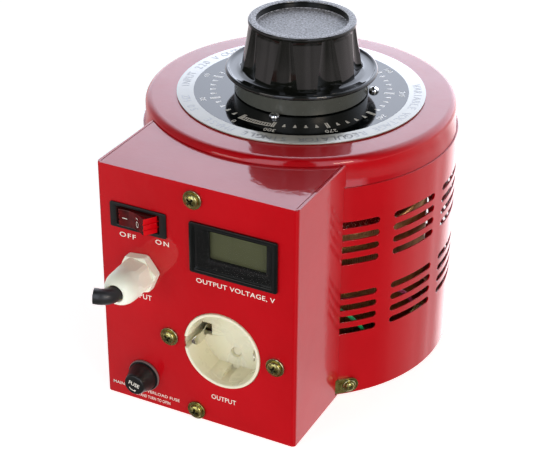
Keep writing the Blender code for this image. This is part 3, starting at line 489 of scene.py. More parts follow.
GLASS_TUBE = surface("fuse_glass", ((0.7, 0.75, 0.75), (0.8, 0.85, 0.85)), (0.03, 0.08), bumps=[(200, 0.01)],
                     Transmission_Weight=0.8)
LENS = surface("meter_lens", ((0.02, 0.02, 0.02), (0.03, 0.03, 0.03)), (0.03, 0.06), grain=10,
               bumps=[(150, 0.002)], Alpha=0.1)


def insulation(name, colour):
    dark = tuple(0.8 * c for c in colour)
    return surface(name, (dark, colour), (0.3, 0.42), grain=300, bumps=[(900, 0.015)])


GREEN = insulation("green_wire", (0.01, 0.42, 0.14))
CRIMSON = insulation("crimson_wire", (0.42, 0.02, 0.1))
BROWN = insulation("brown_wire", (0.2, 0.07, 0.03))
BLUE = insulation("blue_wire", (0.03, 0.1, 0.42))


# ---- drum, lid, dial

def drum_angles():
    """Angles of the grid lines round the shell, and where each slot cell starts."""
    half = SLOT_ARC / 2
    rounding = degrees(SLOT_HEIGHT / 2 / DRUM_R)
    straight = 6
    angles, cells = [], []
    for k in range(SLOT_COLUMNS):
        centre = 180 + SLOT_STEP * (k - (SLOT_COLUMNS - 1) / 2)
        cells.append(len(angles))
        angles.append(centre - half - CELL_MARGIN)
        first, last = centre - half + rounding, centre + half - rounding
        angles += [first + (last - first) * i / straight for i in range(straight + 1)]
        angles.append(centre + half + CELL_MARGIN)
    last_slot, next_slot = angles[-1], angles[0] + 360
    edges = [last_slot] + [360 + w for w in WINDOW] + [next_slot]
    blind = []
    for a, b in zip(edges, edges[1:]):
        steps = max(2, round((b - a) / 3.3))
        blind += [a + (b - a) * i / steps for i in range(steps)]
    return angles + blind[1:], cells, straight


def drum_levels():
    """Heights of the grid lines, and the index of each slot row's lower line."""
    low, high = box("drum_shell")
    inner = SLOT_HEIGHT / 2 * sin(radians(30))
    levels, rows = [low.z], []
    for group in SLOT_GROUPS:
        levels.append(group - SLOT_PITCH / 2)
        for row in range(SLOT_ROWS):
            middle_z = group + row * SLOT_PITCH
            rows.append(len(levels) - 1)
            levels += [middle_z - inner, middle_z, middle_z + inner, middle_z + SLOT_PITCH / 2]
    return levels + [high.z], rows


def make_drum():
    angles, cells, straight = drum_angles()
    levels, rows = drum_levels()
    bm = bmesh.new()
    grid = {}

    def corner(i, k):
        i %= len(angles)
        if (i, k) not in grid:
            grid[i, k] = bm.verts.new(polar(DRUM_R, angles[i], levels[k]))
        return grid[i, k]

    window_rows = range(rows[SLOT_ROWS - 1] + 4, rows[SLOT_ROWS])
    taken = {(i, k) for start in cells for i in range(start, start + straight + 2)
             for row in rows for k in range(row, row + 4)}
    for i in range(len(angles)):
        in_window = 360 + WINDOW[0] < angles[i] + 0.5 < 360 + WINDOW[1]
        for k in range(len(levels) - 1):
            if (i, k) in taken or (in_window and k in window_rows):
                continue
            bm.faces.new((corner(i, k), corner(i + 1, k), corner(i + 1, k + 1), corner(i, k + 1)))
    for start in cells:
        for row in rows:
            slot_cell(bm, corner, angles, levels, start, row, straight)
    shell = piece("drum_casing", bm, ENAMEL, "drum_shell")
    thicken(shell, SHEET)
    soft_edges(shell, 0.22, 2, 50, weighted=False)


def slot_cell(bm, corner, angles, levels, start, row, straight):
    """Faces between a round-ended slot and the four sides of its cell."""
    left, right = start, start + straight + 2
    mid = levels[row + 2]
    half = SLOT_HEIGHT / 2
    tops = [(i, row + 4) for i in range(start + 1, start + straight + 2)]
    frame_ring = tops + [(right, row + k) for k in (4, 3, 2, 1, 0)]
    frame_ring += [(i, row) for i, _ in reversed(tops)] + [(left, row + k) for k in (0, 1, 2, 3, 4)]
    slot_ring = [(angles[i], mid + half) for i, _ in tops]
    slot_ring += [(angles[right - 1] + degrees(x / DRUM_R), z) for x, z in arc(0, mid, half, 60, -60, 4)]
    slot_ring += [(angles[i], mid - half) for i, _ in reversed(tops)]
    slot_ring += [(angles[left + 1] + degrees(x / DRUM_R), z) for x, z in arc(0, mid, half, 240, 120, 4)]
    inner = vertices(bm, [polar(DRUM_R, a, z) for a, z in slot_ring])
    join_rings(bm, [inner, [corner(i, k) for i, k in frame_ring]])


def make_lid():
    low, high = box("top_lid")
    radius, top, sheet, edge = high.x, high.z, 1.2, 4
    rim = arc(radius - edge, top - edge, edge, 90, 0, 10)
    inner = radius - sheet
    flare = DRUM_R - SHEET - 0.1
    step = box("drum_shell")[1].z
    skirt = [(radius, step + 1.5), (flare, step + 0.7), (flare, low.z), (inner, low.z)]
    profile = [(9, top)] + [(r, top) for r in (30, 60)] + rim + skirt
    profile += [(inner, top - edge), (radius - edge, top - sheet), (9, top - sheet)]
    piece("lid_casing", turned(profile, 192), ENAMEL, "top_lid", sharp=40)


def sector(inner, outer, start, end, low, steps=1):
    """Thin raised patch between two radii and two angles."""
    outline = [(outer, start + (end - start) * i / steps) for i in range(steps + 1)]
    outline += [(inner, angle) for _, angle in reversed(outline)]
    return prism(around(outline), low, low + INK)


def round_text(text, radius, angle, size, low):
    """Lettering whose tops point outwards, at an angle round the dial."""
    return lettering(text, size), shift(*polar(radius, angle, low)) @ turn(angle + 180)


def arc_text(text, radius, angle, size, step, low):
    """Letters spaced along an arc, read clockwise from above, with their tops outwards."""
    parts = []
    for i, letter in enumerate(text):
        if letter != " ":
            parts.append(round_text(letter, radius, angle - (i - (len(text) - 1) / 2) * step, size, low))
    return parts


def make_dial():
    low, high = box("dial_plate")
    radius, top = high.x, high.z
    profile = soften([(14, low.z), (radius, low.z), (radius, top), (14, top)], 0.2, 2)
    piece("dial_disc", turned(profile, 160), ALUMINIUM, "dial_plate")
    black = turned([(15, top), (57, top), (57, top + INK), (15, top + INK)], 128)
    piece("dial_black_ring", black, DIAL_BLACK)
    ink = top + INK
    whole = Matrix.Identity(4)
    parts = []
    for volts in range(0, 301, 6):
        angle = DIAL_ZERO - DEGREES_PER_VOLT * volts
        if volts % 30 == 0:
            for side in (-1, 1):
                bar = angle + side * 0.65
                parts.append((sector(43.9, 49.5, bar - 0.45, bar + 0.45, ink), whole))
            parts.append(round_text(str(volts), 53.2, angle, 4.4, ink))
        else:
            wedge = [(45.2, angle - 0.35), (48.2, angle - 1.1), (48.2, angle + 1.1), (45.2, angle + 0.35)]
            parts.append((prism(around(wedge), ink, ink + INK), whole))
    first, last = DIAL_ZERO + 1.6, DIAL_ZERO - 300 * DEGREES_PER_VOLT + 358
    for inner, outer in ((45.9, 46.4), (48.9, 49.4)):
        parts.append((sector(inner, outer, first, last, ink, 10), whole))
    hatch = 11
    for i in range(hatch + 1):
        angle = first + (last - first) * i / hatch
        parts.append((sector(46.4, 48.9, angle - 0.35, angle + 0.35, ink), whole))
    piece("dial_scale", merge(parts), WHITE_INK)
    words = [("VARIABLE VOLTAGE REGULATOR", 73.5), ("SINGLE PHASE", -3), ("50 HZ", -45), ("INPUT 220 V", -85),
             ("OUTPUT 0-300 V", -135)]
    parts = []
    for text, angle in words:
        parts += arc_text(text, 61.4, angle, 6.2, 3.8, top)
    piece("dial_words", merge(parts), GREY_INK)


# ---- screws

def screw(head, washer, shank, recess):
    """Cross-recessed screw standing on Z = 0. Sizes are (radius, height) pairs."""
    radius, rise = head
    top = washer[1] + rise
    dome = arc(0, washer[1] + 0.25 * rise, radius, 90, 0, 6, squash=0.75 * rise / radius)
    profile = dome + [(radius, washer[1])]
    if washer[0] > radius:
        profile += [(washer[0] - 0.25, washer[1]), (washer[0], washer[1] - 0.25)]
    profile += [(max(washer[0], radius), 0), (shank[0], 0), (shank[0], -shank[1]), (0, -shank[1])]
    steps = []
    for angle in (0, 90):
        arm = stacked([(plate(0.1 * recess, 0.08 * recess, 0.04 * recess, 1), top - 0.75 * recess),
                       (plate(recess, 0.24 * recess, 0.15 * recess, 1), top + 0.1)])
        arm.transform(turn(angle + 20))
        steps.append(("DIFFERENCE", arm))
    made = boolean(turned(profile, 40), *steps)
    # Faces inside the cross recess take the second material, a painted shade that darkens the recess.
    for face in made.faces:
        centre = face.calc_center_median()
        across = min(1, centre.to_2d().length / radius)
        outside = washer[1] + rise * (0.25 + 0.75 * sqrt(1 - across * across))
        if top - 0.8 * recess < centre.z < outside - 0.2 and centre.to_2d().length < 1.05 * recess:
            face.material_index = 1
    return made


def make_screws():
    zinc_head = ((3.7, 2.2), (5, 0.9), (1.9, 7), 2.8)
    for i, place in enumerate(("top", "bottom", "left", "right")):
        name = "panel_screw_" + place
        base = box(name)[1].y - 7 - FRONT
        piece("washer_screw_" + place, screw(*zinc_head), [YELLOW_ZINC, RECESS_SHADE], name,
              on_panel(name, -base) @ turn(25 + 40 * i))
    dial_head = ((2.7, 2), (0, 0), (1.5, 6), 1.5)
    for i in (1, 2, 3):
        name = "dial_screw_%d" % i
        spot = middle(name)
        seat = box(name)[0].z + 6
        piece("scale_screw_%d" % i, screw(*dial_head), [CHROME, RECESS_SHADE], name,
              shift(spot.x, spot.y, seat) @ turn(37 * i))


def make_ears():
    """Zinc strap with a round end, bent round the drum, and its screw."""
    inner = DRUM_R + 0.3
    thick = 1
    for side, name in ((-1, "left"), (1, "right")):
        low, high = box("ear_" + name)
        half, centre = (high.z - low.z) / 2, (high.z + low.z) / 2
        tip, root = 48.2, 38
        rows = []
        steps = 24
        for i in range(steps + 1):
            angle = root + (tip - root) * (1 - (1 - i / steps) ** 2)
            beyond = max(0, radians(angle - tip) * inner + half)
            reach = sqrt(max(half * half - beyond * beyond, (0.12 * half) ** 2))
            rows.append([polar(inner + thick, side * angle, centre + k * reach / 4) for k in range(-4, 5)])
        strap = piece("ear_strap_" + name, strip(rows), YELLOW_ZINC, "ear_" + name)
        thicken(strap, thick)
        soft_edges(strap, 0.2, 2, 50, weighted=False)
        facing = turn(44.7 * side) @ turn(90, "X")
        spot = shift(*polar(inner + thick + 0.3, 44.7 * side, centre))
        head = ((2.6, 1.5), (3.6, 0.6), (1.5, 5), 1.5)
        piece("strap_screw_" + name, screw(*head), [YELLOW_ZINC, RECESS_SHADE], "ear_screw_" + name,
              spot @ facing @ turn(30 * side))


# ---- knob

KNOB_FLUTES = 8


def knob_columns(share):
    """Angles round the knob with the depth share of each: flutes with sharp sides, and lands between them."""
    half = 13.5 - 6.5 * share
    pitch = 360 / KNOB_FLUTES
    columns = []
    across = 12
    land = 5
    for k in range(KNOB_FLUTES):
        centre = pitch * (k + 0.5)
        for i in range(across + 1):
            t = 2 * i / across - 1
            columns.append((centre + half * t, 1 - t * t))
        for i in range(1, land):
            columns.append((centre + half + (pitch - 2 * half) * i / land, 0))
    return columns


def make_knob():
    base = box("knob")[0].z
    foot, crown = 153.3, 177.4
    under = [(5.3, 172.5), (5.3, base), (10, base), (10, 149), (32.4, 149), (32.4, base + 0.3), (32.7, base),
             (35.1, base), (35.4, base + 0.3)]
    side = [(35.4, 149.6), (35.6, 150.1), (36.2, 150.35), (38.9, 150.9), (39.8, 151.25), (40.2, 151.8),
            (40.25, 152.3), (40.1, 152.9), (39.75, 153.35), (39.3, 153.58), (38.9, 153.55), (38.5, 153.3),
            (38.2, 152.9), (37.7, 152.6), (36.5, 152.4), (34.5, 152.3), (33.2, 152.4), (32.4, 152.8)]
    cap = [(28.1, 178), (28.4, 178.4), (28.4, 179), (28.25, 179.5), (27.9, 179.85), (27.3, 180), (24.5, 180),
           (24.15, 179.85), (24, 179.5), (24, 176.6), (23.8, 176.3), (23.3, 176.2), (12, 176.2), (3, 176.25)]
    rings = [[(0, 0, 172.5)]]

    def ring(radius, z, share=0, depth=0):
        rings.append([polar(radius - depth * dip, angle, z) for angle, dip in knob_columns(share)])

    for radius, z in under + side:
        ring(radius, z)
    steps = 14
    for i in range(steps + 1):
        share = i / steps
        bulge = 0.25 * sin(pi * share)
        depth = 2.7 - 1.6 * share
        ring(31.9 - 4 * share - bulge, foot + (crown - foot) * share, share, depth)
    for radius, z in cap:
        ring(radius, z, 1)
    bm = loft(rings + [[(0, 0, 176.3)]])

    def pick(face):
        centre = face.calc_center_median()
        if centre.z > 176 and centre.to_2d().length < 28 and face.normal.z > 0.5:
            return 1
        # Skirt faces take the third material, the painted-reflection grey.
        if base + 0.1 < centre.z < 150 and centre.to_2d().length > 35:
            return 2
        return 0

    bmesh.ops.recalc_face_normals(bm, faces=bm.faces)
    piece("knob_moulding", bm, [BAKELITE, KNOB_TOP, KNOB_SKIRT_SHEEN], "knob", ROTOR, "rotor", sharp=28, pick=pick)
    mark = [(-0.7, -37.4), (0.7, -37.4), (0.5, -33.4), (-0.5, -33.4)]
    piece("knob_pointer", prism(mark, 152, 152.65), WHITE_INK, matrix=ROTOR, body="rotor")


# ---- control box

def make_box():
    low, high = box("front_box")
    half, top, back = high.x, high.z, high.y
    sheet, fold = 1.2, 2
    outline = [(half, back), (-half, back)]
    outline += arc(fold - half, FRONT + fold, fold, 180, 270, 6)
    outline += arc(half - fold, FRONT + fold, fold, 270, 360, 6)
    body = prism(outline, low.z, top)
    rims = [e for e in body.edges if all(abs(v.co.z - top) < TINY for v in e.verts)]
    rims = [e for e in rims if not all(abs(v.co.y - back) < TINY for v in e.verts)]
    bmesh.ops.bevel(body, geom=rims, offset=0.7, segments=3, profile=0.5, affect="EDGES")
    inside = block(centred(half - sheet), (FRONT + sheet, 0), (low.z + sheet, top - sheet))
    to_shell, to_lid = DRUM_R + 0.35, box("top_lid")[1].x + 0.35
    step = box("drum_shell")[1].z + 1
    drum = [(0, top + 1), (to_lid, top + 1), (to_lid, step), (to_shell, step), (to_shell, -1), (0, -1)]
    steps = [("DIFFERENCE", inside), ("DIFFERENCE", turned(drum, 160))]
    through = centred(5)

    def hole(shape, node):
        shape.transform(on_panel(node))
        steps.append(("DIFFERENCE", shape))

    hole(block(centred(12.9), centred(6), through), "switch_body")
    hole(block(centred(22.9), centred(13.4), through), "meter_housing")
    hole(prism(disc(21.6, 72), *through), "socket_body")
    hole(prism(disc(6.4), *through), "fuse_cap")
    hole(prism(disc(8), *through), "gland_nut")
    for place in ("top", "bottom", "left", "right"):
        hole(prism(disc(2.3, 16), *through), "panel_screw_" + place)
    for side in (-1, 1):
        notch = block((-2, 2), (-67, -60), (low.z + sheet, 10.8))
        notch.transform(shift(side * half))
        seam_x = side * (half - 1.7)
        seam = block((seam_x - 0.2, seam_x + 0.2), (FRONT + 1.6, 0), (top - 0.5, top + 1))
        steps += [("DIFFERENCE", notch), ("DIFFERENCE", seam)]
    cover = piece("box_casing", boolean(body, *steps), ENAMEL, "front_box")
    soft_edges(cover, 0.12, 2, 40)


def make_labels():
    """Generic words on the panel: text, middle across, height, size, letter spacing and width."""
    labels = [("OFF", -38.6, 98.2, 3.8, 1.2, 1.3), ("ON", -18.7, 99.1, 3.8, 1.25, 1.25),
              ("OUTPUT VOLTAGE, V", 21.6, 83.5, 3.75, 1.05, 1.14), ("OUTPUT", 14.7, 16.4, 3.9, 1.05, 0.9),
              ("INPUT", -31.8, 65, 4.2, 1.05, 0.95), ("MAINS INPUT OVERLOAD FUSE", -31.4, 7, 2.5, 1.05, 1.1),
              ("PUSH AND TURN TO OPEN", -28.5, 3.4, 2.5, 1.05, 0.72)]
    parts = []
    for text, x, z, size, spacing, width in labels:
        parts.append((lettering(text, size, spacing, width, 0.004), PANEL @ shift(x, z)))
    piece("panel_words", merge(parts), WHITE_INK)


def make_switch():
    home = on_panel("switch_body")
    rings = [(12.6, 5.381, 1.2, -12), (12.6, 5.381, 1.2, 0.3), (16, 7, 1.2, 0.3), (16, 7, 1.2, 0.6),
             (15.85, 6.85, 1.1, 0.88), (15.5, 6.5, 0.9, 1), (12.5, 5.6, 0.6, 1), (12.2, 5.3, 0.5, 0.85),
             (11.9, 5, 0.4, 0.3), (11.8, 4.9, 0.4, -12)]
    body = boolean(prism(plate(12.6, 5.7, 0.4), -18, -11.9), ("UNION", bezel_frame(rings)))
    whole = Matrix.Identity(4)
    parts = [(body, whole)]
    for blade in (-7, 7):
        tab = block((blade - 0.4, blade + 0.4), centred(2.4), (-26, -18.1))
        parts.append((tab, whole))
    piece("switch_frame", merge(parts), BLACK_ABS, "switch_body", home)
    make_rocker()


def bezel_frame(rings, view=(0, 0)):
    """Hollow frame through rounded rectangles: half sizes, radius, height and share of the view's shift."""
    made = []
    for half_x, half_y, radius, z, *share in rings:
        dx, dy = (sum(share) * v for v in view)
        made.append([(x + dx, y + dy, z) for x, y in plate(half_x, half_y, radius)])
    return loft(made, closed=True)


def make_rocker():
    """Rocker with a shallow valley in front and three ridges on each end face."""
    crest, shoulder, valley_floor = (8.47, 7.79), (11.2, 1), 5.75
    half = [crest, shoulder, (11, -3), (4, -4.5)]
    valley = [(3.2, 6.12), (0, valley_floor), (-3.2, 6.12)]
    outline = half + [(-a, b) for a, b in reversed(half)] + valley[::-1]
    lean = degrees(atan2(shoulder[0] - crest[0], crest[1] - shoulder[1]))
    reach = (crest[0] + shoulder[0]) / 2 + 0.15
    height = (crest[1] + shoulder[1]) / 2
    steps = []
    for side in (-1, 1):
        for row in (-1.55, 1.55):
            groove = block(centred(0.65), centred(6), centred(0.45))
            groove.transform(shift(side * reach, height, row) @ turn(side * lean))
            steps.append(("DIFFERENCE", groove))
    body = boolean(prism(outline, *centred(4.6)), *steps)
    flat = on_panel("switch_body", ROCKER_PIVOT) @ turn(-ROCKER_TILT, "Y")

    # All faces but the upper end faces take the dark painted-shade copy of the red; those end faces take the
    # plain red.
    def pick(face):
        spot = face.calc_center_median()
        local = (flat @ turn(90, "X")).inverted() @ spot
        return 1 if abs(local.x) > 8.3 and local.y > 0.5 else 0

    rocker = piece("rocker_cap", body, [SHADED_RED_PC, RED_PC], "switch_rocker", flat @ turn(90, "X"), "rocker",
                   pick=pick)
    soft_edges(rocker, 0.25, 2, 25)
    tilt = degrees(atan2(crest[1] - valley_floor, crest[0]))
    face_height = 5.72
    bar = prism(plate(1.4, 0.18, 0.12, 2), 0, INK)
    slash = prism(plate(0.95, 0.17, 0.12, 2), 0, INK)
    oval = turned([(1, 0), (1.3, 0), (1.3, INK), (1, INK)], 32)
    oval.transform(Matrix.Diagonal((0.78, 1.3, 1, 1)))
    left, right = flat @ turn(tilt, "Y"), flat @ turn(-tilt, "Y")
    marks = [(bar, left @ shift(-6.4, 0.2, face_height)),
             (slash, right @ shift(4.7, 2.7, face_height) @ turn(-12)),
             (oval, right @ shift(4.8, -0.5, face_height))]
    piece("rocker_marks", merge(marks), WHITE_INK, body="rocker")


def make_meter():
    """Panel meter: a low bezel, a sunk window frame and a blank display behind it."""
    home = on_panel("meter_housing")
    lcd_low, lcd_high = box("meter_lcd")
    view = (lcd_low + lcd_high) / 2 - middle("meter_housing")
    glass = FRONT - lcd_low.y
    rings = [(24, 14, 1.2, 0.3), (24, 14, 1.2, 1), (23.85, 13.85, 1.1, 1.35), (23.5, 13.5, 1, 1.5),
             (21.6, 12.3, 0.7, 1.5), (21.2, 11.9, 0.6, 1.3), (20.9, 11.6, 0.5, 0.7), (20.2, 10.9, 0.4, 0.2),
             (17.6, 9.2, 0.4, 0, 0.8), (16, 8.1, 0.3, -0.4, 1), (15.6, 7.7, 0.3, -1, 1),
             (15.6, 7.7, 0.3, glass + 0.3, 1), (20.8, 11.3, 0.4, glass + 0.3), (20.8, 11.3, 0.4, -15.8),
             (22.5, 13, 0.4, -16), (22.5, 13, 0.4, 0.3)]
    bm = bezel_frame(rings, (view.x, view.z))
    piece("meter_bezel", bm, GLOSS_ABS, "meter_housing", home, sharp=25)
    half_x, half_z = (lcd_high.x - lcd_low.x) / 2, (lcd_high.z - lcd_low.z) / 2
    lcd = prism(plate(half_x, half_z, 0.3), glass - 2.4, glass)
    where = PANEL @ shift((lcd_low.x + lcd_high.x) / 2, (lcd_low.z + lcd_high.z) / 2)
    piece("meter_display", lcd, LCD, "meter_lcd", where)


def make_socket():
    """Round recess with a thin rim, keyed walls, two shuttered pin holes and an earth clip at each side."""
    home = on_panel("socket_body")
    floor, flat = -15, 17.2
    outer = [(0, -15), (18.9, -15), (19.4, -14.8), (19.6, -14.3), (19.6, 0.3), (19.75, 0.6), (20.1, 0.85),
             (20.5, 0.9), (20.9, 0.85), (21.2, 0.65), (21.3, 0.4), (21.3, -1.5), (24, -1.5), (24, -24),
             (22.2, -24), (22.2, -18), (0, -18)]
    slot_half = centred(3.4)
    steps = []

    def cut_out(shape, *where):
        shape.transform(shift(*where))
        steps.append(("DIFFERENCE", shape))

    def span(side, near, far):
        return tuple(sorted((side * near, side * far)))

    for side in (-1, 1):
        steps.append(("UNION", block(span(side, 23, 35), centred(6), (-3.5, -1.5))))
        for part in (-1, 1):
            key = [(flat, floor - 1), (flat, -5.2), (20.2, -1.6), (20.8, floor - 1)]
            rib = prism(key, *centred(3.9))
            rib.transform(shift(part * 6.1) @ turn(90 * side) @ turn(90, "X"))
            steps.append(("UNION", rib))
    for side in (-1, 1):
        cut_out(prism(disc(2.3, 16), -8, 3), side * 30)
        slot_front = 3 if side < 0 else -1
        cut_out(block(span(side, 17.5, 21.8), slot_half, (-20, slot_front)))
        cut_out(block(span(side, 13.9, 18), slot_half, (-20, -13)))
        pin = turned([(0, -22), (2.6, -22), (2.6, -15.5), (3.1, -14.9), (3.1, 0), (0, 0)], 40)
        cut_out(pin, 0, side * 9.5)
    body = piece("socket_moulding", boolean(turned(outer, 128), *steps), IVORY, "socket_body", home)
    soft_edges(body, 0.2, 2, 40)
    shutters = []
    for side in (-1, 1):
        profile = [(0, -16.9), (2.5, -16.9), (2.5, -16.5), (2.2, -16.3), (0, -16.3)]
        shutters.append((turned(profile, 32), shift(0, side * 9.5)))
    piece("pin_shutters", merge(shutters), IVORY, matrix=home)
    make_earth_clips(home)


def make_earth_clips(home):
    """Strip behind the socket floor whose two ends stand up as dished clips with round tips."""
    half = [(17.9, -1), (17.2, -1.8), (16.5, -2.9), (16, -4.6), (15.85, -7), (16.1, -9.5), (16.5, -12),
            (16.6, -15), (16.6, -18.6), (16, -19.2), (10, -19.2)]
    path = half + [(0, -19.2)] + [(-a, b) for a, b in reversed(half)]
    across = 8
    rows = []
    for x, z in path:
        from_tip = max(0, -1 - z)
        reach = 2.9 * sqrt(max(0, 1 - max(0, 1 - from_tip / 2.6) ** 2)) if from_tip < 2.6 else 2.9
        reach = max(reach, 0.7) if abs(x) > 12 else 2.6
        row = []
        for k in range(across + 1):
            y = reach * (2 * k / across - 1)
            dish = 0.5 * (y / 2.9) ** 2 if z > -14 else 0
            row.append((x - copysign(dish, x), y, z))
        rows.append(row)
    strap = piece("earth_clips", strip(rows), NICKEL, "socket_earth_strap", home)
    thicken(strap, 0.6, 0)
    smooth_out(strap, 1)


def make_fuse():
    home = on_panel("fuse_cap")
    holder = [(0, -23), (4.6, -23), (4.6, 1.5), (8.6, 1.5), (8.8, 1.4), (8.9, 1.15), (8.9, 0.3), (6, 0.3),
              (6, -26), (0, -26)]

    def flange(face):
        return 1 if (home.inverted() @ face.calc_center_median()).to_2d().length > 7 else 0

    piece("fuse_barrel", turned(holder, 64), [BLACK_ABS, GREY_WASHER], "fuse_holder", home, pick=flange)
    top = 11
    cap = [(0, 11), (5.2, 11), (5.7, 10.5), (6.2, 8.4), (6.8, 6.2), (7.4, 4.4), (7.8, 3.2), (7.8, 2),
           (7.6, 1.8), (4.2, 1.8), (4.2, -5), (3, -5), (3, -0.5), (0, -0.5)]
    body = turned(soften(cap, 0.35, 2), 72)
    piece("fuse_knob", body, BLACK_ABS, "fuse_cap", home, "fuse_top", sharp=50)
    facing = home @ turn(-14)
    sweep = sector(3.1, 3.5, -44, 20, top, 10)
    tip = prism(around([(2.7, 16), (3.95, 16), (3.3, 38)]), top, top + INK)
    word = lettering("FUSE", 3.2, 1, 0.96, 0.008)
    parts = [(word, facing @ shift(0, 0.5, top)), (sweep, facing), (tip, facing)]
    piece("fuse_word", merge(parts), WHITE_INK, body="fuse_top")


def make_gland():
    home = on_panel("gland_nut")
    base = prism(hexagon(19, 37), 0.3, 5)
    chamfer = [(0, 0.3), (10.6, 0.3), (10.75, 0.6), (10.75, 4.2), (9.9, 5), (0, 5)]
    chamfer = turned(soften(chamfer, 0.2, 2), 96)
    thread = prism(disc(7.6, 48), -9, 1)
    neck = prism(disc(7.2, 48), 4, 13)
    bore = prism(disc(5, 48), -12, 20)
    body = boolean(base, ("INTERSECT", chamfer), ("UNION", thread), ("UNION", neck), ("DIFFERENCE", bore))
    soft_edges(piece("gland_base", body, GLOWING_NYLON, "gland_body", home), 0.3, 3, 30)
    dome = [(7.6, 5.3), (9.6, 5.3), (9.6, 13.5), (8.95, 15.3), (8.85, 18), (8.6, 20.2), (7.9, 22.3),
            (6.9, 24), (5.8, 25.1), (5.2, 25.4), (4.6, 25.2), (4.6, 22.5), (7.6, 19)]
    nut = boolean(turned(dome, 96), ("INTERSECT", prism(hexagon(17.7, 20), 5, 30)))
    soft_edges(piece("gland_dome", nut, GLOWING_NYLON, "gland_nut", home), 0.3, 3, 22)


def make_cable():
    spot = middle("gland_nut")
    x, z, radius, run = spot.x, spot.z, 4.05, 8.2
    aim = Vector((-0.93, 0.05, 0.36)).normalized()
    corner = Vector((x, z, 29.2))
    points = [Vector((x, z, -12)), Vector((x, z, 8)), Vector((x, z, 22)),
              corner + Vector((-1, -0.2, -1.9)), corner + aim * 0.45 * run, corner + aim * run]
    piece("cable_sheath", tube(points, radius, 16, 8), RUBBER, "mains_cable", PANEL, sharp=50)
    end = PANEL @ shift(*points[-1]) @ aim.to_track_quat("Z", "Y").to_matrix().to_4x4()
    for i, (name, wire) in enumerate((("brown", BROWN), ("blue", BLUE), ("green", GREEN))):
        core = turned(soften([(0, -2), (1.35, -2), (1.35, 0.25), (0, 0.25)], 0.15, 2), 24)
        place = end @ turn(120 * i) @ shift(1.8)
        piece("cable_core_" + name, core, wire, matrix=place)
        strand = prism(disc(0.7, 16), 0, 0.35)
        piece("cable_strand_" + name, strand, BARE_COPPER, matrix=place)


# ---- winding and other inner parts

def make_winding():
    """Turns of wire round the toroid, as ridges in its outer skin, with the bared brush track on top."""
    low, high = box("winding")
    outer, bottom, top, thick, inner = 70, low.z, high.z, 3, 36
    gap_mid, gap_arc, turns, per_turn = DIAL_ZERO + 11.25, 16, 300, 4
    section = plate((outer - inner) / 2, (top - bottom) / 2, 2, 2)
    core = plate((outer - inner) / 2 - thick, (top - bottom) / 2 - thick, 0.5, 2)
    centre_r, centre_z = (outer + inner) / 2, (top + bottom) / 2
    steps = turns * per_turn
    bm = bmesh.new()
    skins, cores = [], []
    for i in range(steps + 1):
        angle = gap_mid + gap_arc / 2 + (360 - gap_arc) * i / steps
        sink = 0.35 * (0.5 - 0.5 * cos(tau * i / per_turn))
        shrink_x = 1 - sink / ((outer - inner) / 2)
        shrink_y = 1 - sink / ((top - bottom) / 2)
        skin = [polar(centre_r + x * shrink_x, angle, centre_z + y * shrink_y) for x, y in section]
        skins.append(vertices(bm, skin))
        cores.append(vertices(bm, [polar(centre_r + x, angle, centre_z + y) for x, y in core]))
    join_rings(bm, skins)
    join_rings(bm, cores)
    for end in (0, -1):
        join_rings(bm, [skins[end], cores[end]])

    def track(face):
        spot = face.calc_center_median()
        return 1 if spot.z > top - 1 and 50 < spot.to_2d().length < 62 else 0

    piece("winding_turns", bm, [COPPER, BARE_COPPER], "winding", sharp=60, pick=track)


def dress_nodes():
    """Materials, welded vertices and rounded edges for the CAD nodes that stay."""
    finishes = {
        YELLOW_ZINC: ["base_plate", "box_bracket", "tie_bolt_1", "tie_bolt_2", "tie_bolt_3"],
        CHROME: ["shaft", "stop_pin", "brush_spring", "knob_set_screw"],
        BRASS: ["lower_bush", "upper_bush", "slip_ring", "collector_leaf", "socket_contact_upper",
                "socket_contact_lower"],
        BOARD: ["lower_clamp", "upper_clamp", "toroid_pad", "lower_liner", "upper_liner"],
        CORE_STEEL: ["toroid_core"], CAST: ["brush_arm"], CARBON: ["carbon_brush"],
        GLOWING_NYLON: ["gland_locknut", "fuse_nut"], RUBBER: ["gland_seal"], GLASS_TUBE: ["fuse_cartridge"],
        LENS: ["meter_window"], GREEN: ["earth_wire"], CRIMSON: ["neutral_wire"], BROWN: ["live_wire"],
        BLUE: ["output_wire"]}
    for material, names in finishes.items():
        for name in names:
            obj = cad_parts[name]
            obj.data.materials.clear()
            obj.data.materials.append(material)
            obj.modifiers.new("Weld", "WELD").merge_threshold = 0.005 * MM
            if name.endswith("wire") or name == "brush_spring":
                smooth_out(obj, 2)
            else:
                add_bevel(obj, 0.15, 2, 40)


# ---- studio

def make_floor():
    bm = bmesh.new()
    bmesh.ops.create_grid(bm, x_segments=1, y_segments=1, size=6)
    bm.transform(shift(z=-0.3 * MM))
    floor = new_object("studio_floor", bm)
    paint = surface("studio_floor", ((0.86, 0.86, 0.86), (0.88, 0.88, 0.88)), (0.8, 0.9), grain=3,
                    Emission_Color=(0.98, 1, 1, 1), Emission_Strength=0.75)
    floor.data.materials.append(paint)
    floor.visible_glossy = False


